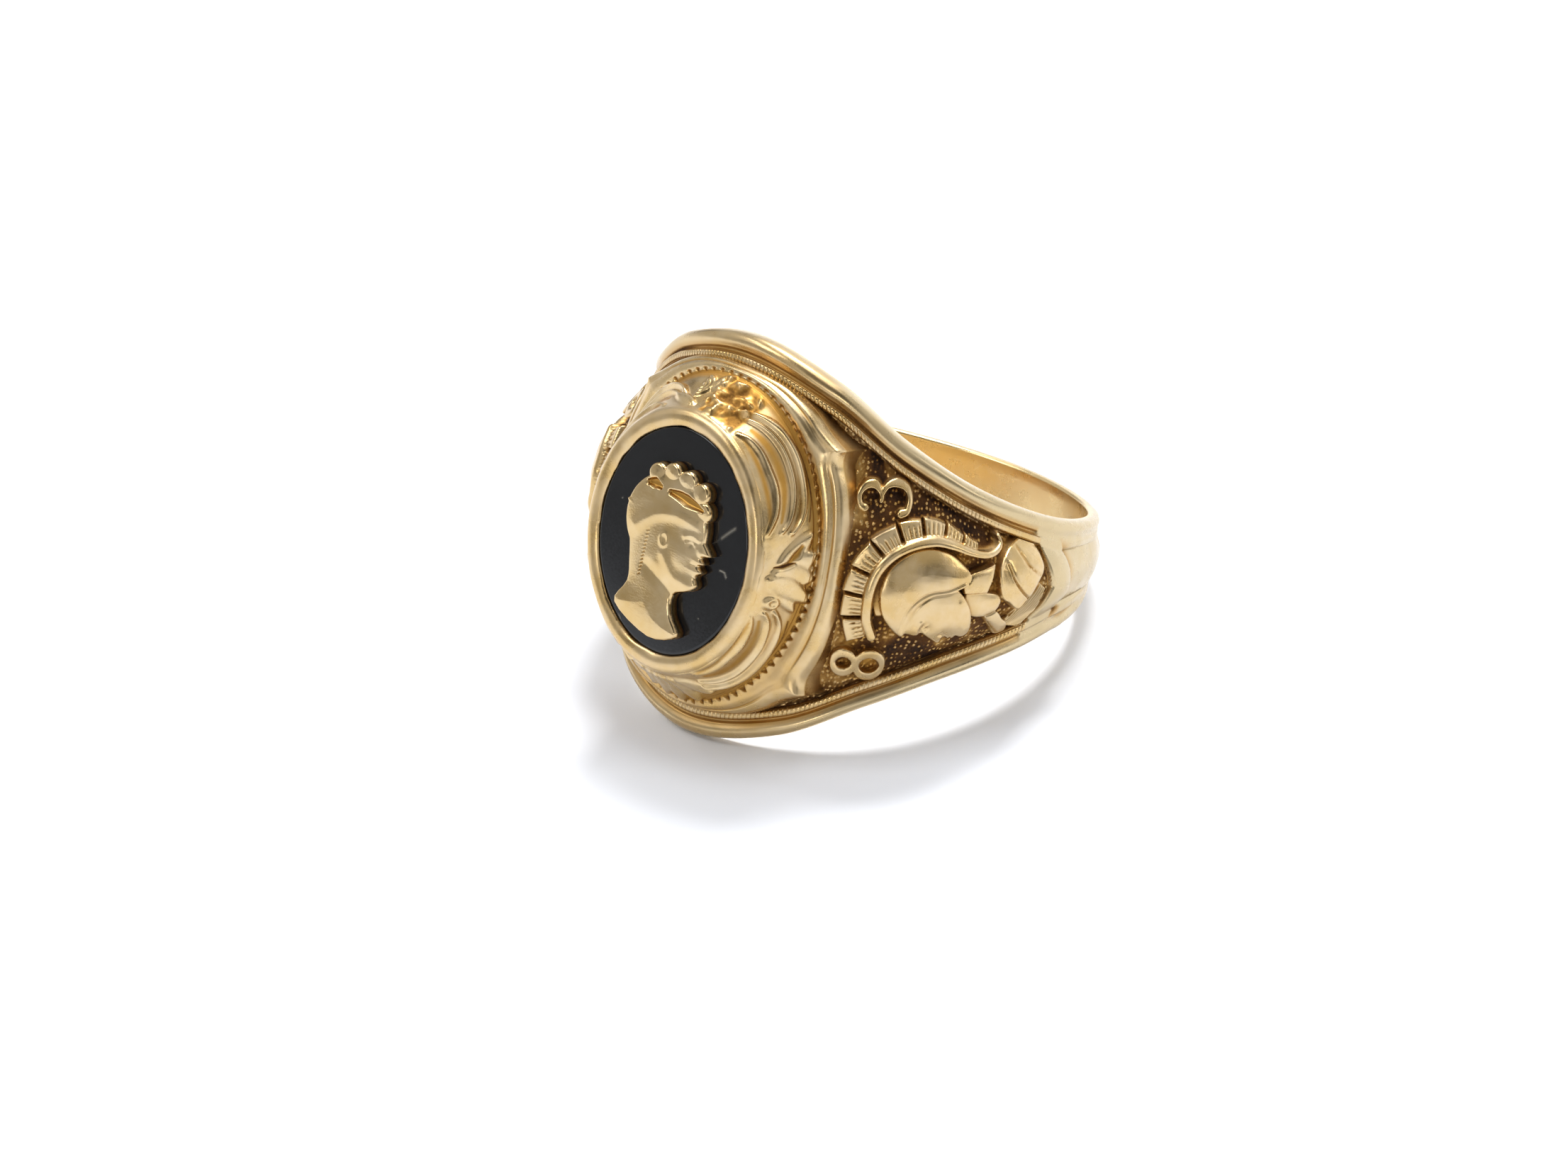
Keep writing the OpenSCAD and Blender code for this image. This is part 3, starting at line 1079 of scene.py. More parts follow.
@dataclass
class Helmet:
    """A crested helmet over a calm profile, with the neck and the drapery below.

    Outlines and lines are millimetres on the panel, x along the finger and y toward the stone.
    """

    relief: float = 0.5
    line_w: float = 0.045
    crest_w: float = 0.25
    crest_taper: float = 0.1
    block: float = 0.95
    blocks: int = 9
    slits: int = 5
    slit_t: float = 0.07
    plume: float = 1.18
    plume_falls: float = 0.62
    plume_fades: tuple = (4.2, 8.6)
    border: Table = ((0.45, -6.05), (0.02, -6.85), (-2.1, -6.4), (-1.75, -4.7), (-1.3, -4.5))
    border_edge: Table = ((-1.15, -4.75), (0.3, -6.3))
    rung_pitch: float = 0.16
    chest: Table = (
        (1.9, -4.0), (2.3, -5.3), (2.0, -6.1), (1.1, -6.5), (0.42, -5.97),
        (-0.3, -5.35), (-0.78, -4.85), (-0.4, -4.1), (-0.1, -3.6), (1.0, -3.35),
    )
    fold: Table = ((1.3, -3.9), (0.62, -4.25), (0.1, -4.8), (-0.28, -5.4))
    fold_t: float = 0.1
    pleat: Table = ((1.95, -4.6), (1.2, -5.2), (0.75, -6.0))
    strap: Table = (
        (-1.06, -2.95), (-0.75, -3.5), (-1.2, -4.15), (-1.45, -4.6),
        (-2.0, -5.0), (-2.15, -4.3), (-1.7, -3.7),
    )
    strap_line: Table = ((-1.35, -3.3), (-2.1, -4.4))
    neck: Table = ((0.2, -1.6), (0.15, -2.7), (-0.05, -3.6), (-0.75, -3.55), (-1.1, -2.8), (-0.9, -2.0))
    profile: Table = (
        (-1.85, 1.2), (-2.02, 0.75), (-2.05, 0.42), (-1.93, 0.16), (-2.08, -0.15), (-2.28, -0.5),
        (-2.42, -0.78), (-2.34, -0.94), (-2.1, -1.0), (-2.08, -1.14), (-2.2, -1.26), (-2.12, -1.38),
        (-2.17, -1.5), (-2.02, -1.66), (-2.08, -1.86), (-2.04, -2.1), (-1.84, -2.28), (-1.5, -2.3),
        (-0.9, -2.12), (-0.35, -1.8), (0.15, -1.35), (0.6, -0.6), (0.5, 0.9), (-0.6, 1.4),
    )
    features: tuple = (
        Mark(0.07, 0.55, ((-1.2, -0.75),)),  # Cheek
        Mark(-0.12, 0.24, ((-1.66, 0.02),), (1.2, 1.0)),  # Hollow of the eye
        Mark(0.07, 0.1, ((-2.0, 0.36), (-1.72, 0.42), (-1.35, 0.3))),  # Brow
        Mark(0.06, 0.05, ((-1.92, 0.0), (-1.7, 0.12), (-1.42, 0.0))),  # Upper lid
        Mark(0.035, 0.04, ((-1.9, -0.03), (-1.7, -0.1), (-1.46, -0.02))),  # Lower lid
        Mark(0.08, 0.1, ((-1.76, 0.01),), (1.0, 0.7)),  # Eye
        Mark(0.06, 0.1, ((-2.06, -0.84),)),  # Wing of the nose
        Mark(-0.05, 0.09, ((-1.92, -0.74),)),  # Hollow behind it
        Mark(-0.07, 0.045, ((-2.2, -1.385), (-1.86, -1.36))),  # Mouth
        Mark(0.04, 0.16, ((-1.5, -2.05), (-0.9, -1.85), (-0.35, -1.4))),  # Jaw
    )
    guard: Table = ((0.85, -1.2), (1.05, -1.85), (1.42, -3.1), (0.75, -2.95), (0.1, -2.75), (0.05, -1.5))
    bowl: Table = (
        (-2.12, 0.98), (-1.8, 1.62), (-1.15, 2.14), (-0.1, 2.36), (0.97, 2.1), (1.72, 1.35), (2.0, 0.4),
        (1.85, -0.6), (1.42, -1.3), (0.95, -1.75), (0.45, -1.55), (0.1, -0.8), (-0.15, 0.1), (-0.9, 0.72),
    )
    brim: Table = ((-2.05, 1.0), (-0.9, 0.8), (-0.2, 0.2), (0.05, -0.75), (0.4, -1.5))
    crest: Table = (
        (-2.3, 2.38), (-1.7, 2.66), (-1.1, 2.78), (-0.1, 2.8), (0.85, 2.56), (1.58, 2.02), (2.07, 1.2),
        (2.3, 0.15), (2.17, -0.75), (1.9, -1.65), (1.78, -2.5), (1.9, -3.1), (2.2, -3.45), (2.5, -3.4),
    )

    def lay(self, relief: Relief) -> None:
        """Lays all of it, the lowest first.

        Args:
            relief: The work so far.
        """
        self.lay_drapery(relief)
        self.lay_face(relief)
        self.lay_helmet(relief)

    def pillow(self, depth: Array, low: float, rise: float, edge: float) -> Array:
        """Height of a cushion: low at its rim and rise above that inside, as shares of the relief."""
        return self.relief * (low + rise * quarter_round(depth, edge))

    def lay_drapery(self, relief: Relief) -> None:
        """Lays the draped chest, its shoulder strap and the hatched border beside the point.

        Args:
            relief: The work so far.
        """
        border = relief.inside(self.border, 1)
        rung = 0.05 * np.cos(2 * np.pi * (0.62 * relief.x + 0.78 * relief.y) / self.rung_pitch)
        relief.lay(border, self.relief * 0.42 + rung * ramp(0, 0.15, border))
        relief.cut(relief.away(self.border_edge), 0.05, 0.14)
        depth = relief.inside(self.chest)
        relief.lay(depth, self.pillow(depth, 0.75, 0.45, 0.9))
        away, _, side = beside_path(relief.x, relief.y, smoothed(self.fold, closed=False))
        fall = ramp(0.0, 0.5, 0.25 - side * away) * ramp(0, 0.2, depth) * ramp(0, 0.5, 0.9 - away)
        relief.height = relief.height - self.fold_t * fall
        relief.cut(np.where(depth > 0, away, 9), self.line_w, 0.12)
        relief.cut(np.where(depth > 0, relief.away(self.pleat), 9), 0.1, 0.05)
        depth = relief.inside(self.strap)
        relief.lay(depth, self.pillow(depth, 0.6, 0.25, 0.35))
        relief.cut(np.where(depth > 0.04, relief.away(self.strap_line), 9), self.line_w, 0.14)

    def lay_face(self, relief: Relief) -> None:
        """Lays a calm generic profile with even proportions, and the neck under it.

        Args:
            relief: The work so far.
        """
        depth = relief.inside(self.neck)
        relief.lay(depth, self.pillow(depth, 0.5, 0.3, 0.5))
        depth = relief.inside(self.profile, 4)
        top = self.pillow(depth, 0.88, 0.4, 1.1)
        relief.lay(depth, top + sum(mark.on(relief.x, relief.y) for mark in self.features))

    def lay_helmet(self, relief: Relief) -> None:
        """Lays the neck guard, the bowl with its rolled brim, the plume and the crest's rail.

        Args:
            relief: The work so far.
        """
        depth = relief.inside(self.guard, 1)
        relief.lay(depth, self.pillow(depth, 0.85, 0.2, 0.3) + 0.05 * (relief.x - 0.6))
        depth = relief.inside(self.bowl)
        # The brim is a narrow roll with a line behind it
        brim = relief.away(self.brim)
        roll = 0.04 * bump(brim - 0.06, 0.1) - 0.04 * bump(brim - 0.24, 0.05)
        relief.lay(depth, self.pillow(depth, 0.96, 0.4, 1.5) + roll)
        crest = smoothed(self.crest, closed=False)
        away, along, side = beside_path(relief.x, relief.y, crest)
        length = path_length(crest)
        self.lay_plume(relief, away, np.where(side > 0, along, -1))
        # A lower sheet fills the gap between the bowl and the crest
        seat = np.minimum.reduce([0.85 - away, 0.3 + depth, 0.6 * length - along, 0.35 * (along - 0.9)])
        relief.lay(np.where((side < 0) & (relief.raised <= 0.5), seat, -1), self.relief * 0.68)
        depth = self.crest_w - self.crest_taper * ramp(length * 0.55, length, along) - away
        relief.lay(depth, self.pillow(depth, 0.95, 0.5, self.crest_w))

    def lay_plume(self, relief: Relief, away: Array, along: Array) -> None:
        """Lays blocks of horsehair outside the crest, each with cuts at its foot.

        Args:
            relief: The work so far.
            away: Distance from the crest.
            along: Length along it, negative on its inner side.
        """
        share = (along / self.block) % 1
        mid = np.abs(share - 0.5) * 2
        reach = self.plume - self.plume_falls * ramp(*self.plume_fades, along) - 0.1 * share
        depth = np.minimum((0.93 - mid) * self.block / 2 * (0.6 + 0.5 * away), reach - away)
        depth = np.where((along > 0.01) & (along < self.block * self.blocks), depth, -1)
        foot = (1 - ramp(0.6, 0.85, away)) * (mid < 0.86)
        slit = ramp(0.6, 0.95, np.abs((share * self.slits) % 1 - 0.5) * 2) * foot
        lean = 0.06 * (share - 0.5)
        relief.lay(depth, self.pillow(depth, 0.8, 0.25, 0.15) + lean - self.slit_t * slit)
        relief.raised = relief.raised * (1 - 0.6 * slit * (depth > 0))


@dataclass
class Shoulder:
    """The carved panel between the rails: a stippled ground, two numerals and the helmeted head.

    Places on it are millimetres from the middle of the head: x along the finger and y toward
    the stone. Strokes of the numerals carry their half width at each point.
    """

    form: BandForm
    helmet: Helmet
    head_angle: float = 54.0
    arc_mm: float = 0.2129
    start: float = 15.0
    carved: float = 26.0
    end: float = 91.0
    coarse_rows: int = 34
    fine_rows: int = 330
    cols: int = 244
    overlap: float = 0.06
    foot_t: float = 0.35
    ground_rough: float = 0.012
    dents: float = 0.014
    dot_pitch: float = 0.235
    dot_r: float = 0.0792
    dot_t: float = 0.06
    dot_shift: float = 0.36
    dot_lots: int = 160
    ground_soot: float = 0.78
    hollow_soot: float = 0.6
    plain_amber: float = 0.12
    hollow_amber: float = 0.65
    ground_amber: float = 0.3
    numeral_x: float = 3.85
    numeral_y: float = 2.75
    eight_loops: Table = ((0.64, 0.5), (-0.58, 0.62))
    three: tuple = (
        ((-0.52, 0.86, 0.2), (-0.42, 1.1, 0.17), (0, 1.22, 0.17), (0.42, 0.98, 0.23), (0.48, 0.55, 0.23),
         (0.1, 0.2, 0.15), (-0.15, 0.18, 0.13)),
        ((0.1, 0.2, 0.15), (0.5, -0.02, 0.19), (0.64, -0.5, 0.24), (0.45, -1.0, 0.21), (0, -1.2, 0.17),
         (-0.45, -1.1, 0.17), (-0.58, -0.82, 0.22)),
    )

    def grid(self) -> tuple[Array, Array, Array]:
        """The panel's grid, finer where it is carved.

        Returns:
            Angles from the stone, places along the finger, and shares of the way to the rails.
        """
        coarse = np.linspace(self.start, self.carved, self.coarse_rows, endpoint=False)
        fine = np.linspace(self.carved, self.end, self.fine_rows)
        angle = np.concatenate([coarse, fine])[:, None]
        u = np.linspace(-1, 1, self.cols)[None, :]
        z = (self.form.panel_w(angle) + self.overlap) * u
        return angle + 0 * u, z, np.clip(z / self.form.panel_w(angle), -1, 1)

    def dots(self, x: Array, y: Array) -> Array:
        """Small raised dots of a stippled ground, scattered and uneven.

        Args:
            x: Places along the finger.
            y: Places toward the stone.

        Returns:
            Their height, from 0 to 1.2.
        """
        rng, lots = np.random.default_rng(31), self.dot_lots
        shift = rng.uniform(-self.dot_shift, self.dot_shift, (lots, lots, 2))
        tall = np.clip(rng.normal(0.8, 0.35, (lots, lots)), 0, 1.2)
        i = np.floor(x / self.dot_pitch).astype(int)
        j = np.floor(y / self.dot_pitch).astype(int)
        best = np.zeros(x.shape)
        for a, b in ((i + di, j + dj) for di in (-1, 0, 1) for dj in (-1, 0, 1)):
            s = shift[a % lots, b % lots]
            cx = (a + 0.5 + s[..., 0]) * self.dot_pitch
            cy = (b + 0.5 + s[..., 1]) * self.dot_pitch
            r = np.hypot(x - cx, y - cy) / self.dot_r
            best = np.maximum(best, tall[a % lots, b % lots] * np.sqrt(np.clip(1 - r**2, 0, 1)))
        return best

    def lay_numeral(self, relief: Relief, x0: float, strokes: tuple) -> None:
        """Lays one numeral.

        Args:
            relief: The work so far.
            x0: Its place along the finger.
            strokes: Its strokes.
        """
        x, y = relief.x - x0, relief.y - self.numeral_y
        depth = np.maximum.reduce([beside_stroke(x, y, stroke)[0] for stroke in strokes])
        relief.lay(depth, self.helmet.pillow(depth, 0.7, 0.3, 0.2))

    def eight(self) -> tuple:
        """Draws a figure eight as two round loops, thicker at their sides.

        Returns:
            Its strokes.
        """
        turns = [math.radians(a) for a in range(0, 361, 30)]
        return tuple(
            [(r * math.sin(a), y0 + r * math.cos(a), 0.18 + 0.08 * abs(math.sin(a))) for a in turns]
            for y0, r in self.eight_loops
        )

    def build(self) -> Solid:
        """Makes the closed sheet of the near shoulder.

        Returns:
            The sheet in the making.
        """
        form = self.form
        angle, z, u = self.grid()
        x, y = z, (self.head_angle - angle) * self.arc_mm
        dots = self.dots(x, y)
        relief = Relief(x, y, self.ground_rough * soft_noise(x.shape, 2, 33) + self.dot_t * dots, 0.0 * x)
        self.lay_numeral(relief, -self.numeral_x, self.eight())
        self.lay_numeral(relief, self.numeral_x, self.three)
        self.helmet.lay(relief)
        left = -form.past_panel(angle, z)
        dents = self.dents * soft_noise(x.shape, 9, 37)
        height = (relief.height + dents * relief.raised) * ramp(0.0, 1.2, left)
        radius = form.domed_r(angle, u) - form.ground_t - form.dipped(angle, u) + height
        points = around(angle, z, radius)
        foot = form.bore_r + self.foot_t
        low = [around(angle[:, k], z[:, k], foot)[:, None] for k in (-1, 0)]
        wear = self.wear(relief, height, angle, dots, left)
        return Solid.swept(np.concatenate([points, *low], 1), False, wear)

    def wear(self, relief: Relief, height: Array, angle: Array, dots: Array, left: Array) -> dict:
        """Dirt and tarnish of the panel.

        Args:
            relief: The finished work.
            height: Its final heights.
            angle: Degrees from the stone.
            dots: The ground's dots.
            left: Degrees left to the panel's point.

        Returns:
            The soot and the amber.
        """
        shape, z = angle.shape, relief.x
        ground = 1 - relief.raised * ramp(0.0, 1.2, left)
        edge = ramp(0.0, 0.1, self.form.panel_w(angle) - np.abs(z))
        soot = self.ground_soot + 0.14 * soft_noise(shape, 8, 34) - 0.7 * ramp(0.35, 0.8, dots)
        soot = ground * soot * (0.3 + 0.7 * edge)
        # Some in every hollow of the relief, less near the drapery, which the finger rubs
        deep = hollows(height, 5, 0.16)
        soot = np.maximum(soot, self.hollow_soot * deep - 0.1) * (1 - 0.3 * ramp(-2.2, -3.2, relief.y))
        # The ground glows amber in patches and is cleaner beside the bezel
        glow = ramp(0.1, 0.8, soft_noise(shape, 16, 35)) * ground**2
        beside = 1 - ramp(32.0, 37.0, angle + 1.5 * soft_noise(shape, 12, 36))
        soot = (soot - 0.3 * glow - 0.28 * beside * ground) * ramp(0.0, 1.0, left)
        amber = self.plain_amber + self.hollow_amber * hollows(height, 12, 0.3) + self.ground_amber * ground
        return {Wear.SOOT: soot, Wear.AMBER: amber}

    @staticmethod
    def turned(solid: Solid) -> Solid:
        """The same work on the far shoulder: the sheet turned by half a turn about Y."""
        far = solid.points * np.array([-1.0, 1.0, -1.0])
        return Solid(far, solid.quads, solid.others, solid.wear)


# The bezel


@dataclass
class Oval:
    """The stone's outline and what grows out of it, in millimetres."""

    half_l: float = 5.15
    half_w: float = 4.32
    face_h: float = 13.45

    def ring(self, turn: Array, rows: Array) -> Array:
        """Points of ovals round the stone.

        Args:
            turn: Angle round the oval, in degrees, as a column.
            rows: For each oval growth along, growth across, drop, saddle and squareness.

        Returns:
            Points of the upright ring.
        """
        c, s = np.cos(np.radians(turn)), np.sin(np.radians(turn))
        along, across, drop, saddle, squareness = rows.T[:, None, :]
        x = (self.half_w + across) * np.sign(c) * np.abs(c) ** (2 / squareness)
        z = (self.half_l + along) * np.sign(s) * np.abs(s) ** (2 / squareness)
        return np.stack([x, -(self.face_h - drop - saddle * x * x), z], -1)

    def slope(self, turn: Array, table: Table, steps: Array) -> Array:
        """Ovals at steps down a table, whose rows are a step and then what a ring takes."""
        return self.ring(turn, np.stack([through_rows(table, steps, c) for c in range(1, 6)], 1))


def even_turns(a: float, b: float, count: int) -> tuple[Array, Array, float]:
    """Cuts an oval into equal lengths.

    Args:
        a: Half of its length.
        b: Half of its width.
        count: Number of pieces.

    Returns:
        The angles in degrees, the lengths, and the whole length.
    """
    t = np.linspace(0, 360, 7201)
    run = lengths_along(np.stack([b * np.cos(np.radians(t)), a * np.sin(np.radians(t))], -1))
    length = np.arange(count) / count * run[-1]
    return np.interp(length, run, t), length, float(run[-1])


def raised_along(points: Array, height: Array) -> Array:
    """Moves a grid of points out along its own normals; the rows close on themselves.

    Args:
        points: The grid.
        height: How far each point moves.

    Returns:
        The moved grid.
    """
    down = np.roll(points, -1, 0) - np.roll(points, 1, 0)
    side = np.gradient(points, axis=1)
    normal = np.cross(down, side)
    normal /= np.linalg.norm(normal, axis=-1, keepdims=True) + 1e-9
    outward = np.where((normal * points)[..., :2].sum(-1, keepdims=True) < 0, -1.0, 1.0)
    return points + normal * outward * height[..., None]


@dataclass
class Collar:
    """The smooth ring of gold that is burnished over the stone's edge."""

    oval: Oval
    count: int = 720
    wobble: float = 0.003
    nick: float = 0.004
    dents: float = 0.01
    seat_rings: int = 5
    top_rings: int = 34
    foot_steps: tuple = (8.5, 9.0)
    rows: Table = (
        (0, 0.03, 0.03, 1.9, 0, 2),
        (1, 0.03, 0.03, 0.9, 0, 2),
        (2, 0.0, 0.0, 0.14, 0, 2),
        (2.5, 0.0, 0.0, 0.0, 0, 2),
        (3, 0.1, 0.1, -0.08, 0, 2),
        (4, 0.32, 0.31, -0.13, 0, 2),
        (5, 0.55, 0.52, -0.1, 0, 2),
        (6, 0.72, 0.67, 0.0, 0, 2),
        (7, 0.82, 0.76, 0.14, 0, 2),
        (8, 0.86, 0.8, 0.3, 0, 2),
        (9, 0.8, 0.74, 0.9, 0, 2),
    )

    def build(self) -> Solid:
        """Makes the closed ring.

        Returns:
            The collar in the making.
        """
        turn, _, _ = even_turns(self.oval.half_l, self.oval.half_w, self.count)
        seat = np.linspace(0, 2, self.seat_rings, endpoint=False)
        t = np.concatenate([seat, np.linspace(2, 8, self.top_rings), self.foot_steps])
        loops = self.oval.slope(turn[:, None], self.rows, t)
        wobble = soft_noise((self.count, 1), 6, 41, True)
        nicks = np.clip(soft_noise((self.count, 1), 2, 42, True) - 1.4, 0, 1)
        uneven = (self.wobble * wobble + self.nick * nicks) * bump(t[None, :] - 2.3, 0.8)
        loops = loops * (1 + uneven[..., None] * np.array([1.0, 0.0, 1.0]))
        dents = soft_noise(loops.shape[:2], 9, 43, True)
        loops[..., 1] -= self.dents * dents * ramp(2, 3, t)[None, :]
        amber = 0.14 + 0.45 * ramp(7.2, 8, t)[None, :] + 0 * dents
        soot = 0.9 * (1 - ramp(1.9, 2.35, t))[None, :] + 0.25 * ramp(7.6, 8.2, t)[None, :] + 0 * dents
        return Solid.swept(loops, True, {Wear.SOOT: soot, Wear.AMBER: amber})


@dataclass(frozen=True)
class Leaf:
    """A leaf from its base to its tip, with its half width, height and the groove along it."""

    base: tuple
    tip: tuple
    half: float
    tall: float = 0.2
    rib: float = 0.0

    def lay(self, relief: Relief) -> None:
        """Lays it over what is there.

        Args:
            relief: The work so far.
        """
        ax, ay = self.tip[0] - self.base[0], self.tip[1] - self.base[1]
        length = math.hypot(ax, ay)
        dx, dy = relief.x - self.base[0], relief.y - self.base[1]
        t = (dx * ax + dy * ay) / length**2
        across = (dx * ay - dy * ax) / length
        inside = np.clip(t, 0, 1)
        wide = self.half * np.sin(np.pi * inside**0.8) ** 0.7 + 1e-4
        depth = np.where((t > 0) & (t < 1), wide - np.abs(across), -1)
        arch = 0.35 + 0.65 * np.sqrt(np.clip(1 - (across / wide) ** 2, 0, 1))
        relief.lay(depth, self.tall * arch * (0.75 + 0.35 * inside) - self.rib * bump(across, 0.05))


@dataclass
class SlopeGrid:
    """Where each place of the bezel's slope lies.

    Turn is the angle round the oval, and folded is the same within a quarter. Up is 1 at the
    upper end and -1 at the lower one. Millimetres down the slope are q, or even without the sway,
    and those round it are length, of the total.
    """

    turn: Array
    q: Array
    length: Array
    total: float
    sway: float
    folded: Array = field(init=False)
    up: Array = field(init=False)
    upper: Array = field(init=False)
    even: Array = field(init=False)

    def __post_init__(self) -> None:
        """Works out what follows from the angle and the sway."""
        self.folded = np.abs(((self.turn + 90) % 180) - 90)
        self.up = np.sin(np.radians(self.turn))
        self.upper = self.up >= 0
        sway = self.sway * np.sin(np.radians(2 * self.folded))
        self.even = self.q - sway * np.where(self.upper, 1, -1)

    def beside(self, share: float) -> Array:
        """Millimetres round the slope from a place at a share of the whole way round."""
        return (self.length + (0.5 - share) * self.total) % self.total - self.total / 2


@dataclass
class ToothLine:
    """Notches that point outward: saw teeth on the lower half, worn round punches on the upper."""

    teeth: int = 84
    q: float = 2.0
    deep: float = 0.13
    step_t: float = 0.05
    half: float = 0.17
    lean: float = 0.07
    uneven: float = 0.08
    lengths: tuple = (0.22, 0.4)
    punch_r: float = 0.15
    punch_share: float = 0.8

    def cut(self, grid: SlopeGrid) -> tuple[Array, Array]:
        """Works out the cut.

        Args:
            grid: Where the slope's places lie.

        Returns:
            How deep the cut is, and how dirty.
        """
        length, q, upper = grid.length, grid.even, grid.upper
        pitch, lot = grid.total / self.teeth, np.random.default_rng(51)
        number = np.floor(length / pitch).astype(int) % self.teeth
        shift = lot.uniform(-self.uneven, self.uneven, self.teeth)[number]
        across = ((length / pitch) % 1 - 0.5 + shift) * pitch
        out = (q - self.q) / lot.uniform(*self.lengths, self.teeth)[number]
        room = self.half * (1 - out) - np.abs(across - self.lean * out)
        saw = ramp(-0.01, 0.06, room) * ramp(-0.3, 0.0, out)
        ring = np.hypot(across, 0.8 * (q - self.q - 0.1))
        punch = ramp(self.punch_r, 0.08, ring) * (0.45 + 0.55 * ramp(-0.05, 0.08, across))
        step = plateau(-0.34, -0.26, -0.03, 0.04, q - self.q)
        notch = np.where(upper, self.punch_share * punch, saw)
        dirty = saw * (0.35 + 0.65 * np.clip(out, 0, 1))
        dirty = np.where(upper, 0.6 * punch * ramp(-0.02, 0.05, across), dirty)
        return self.deep * notch + self.step_t * step, dirty


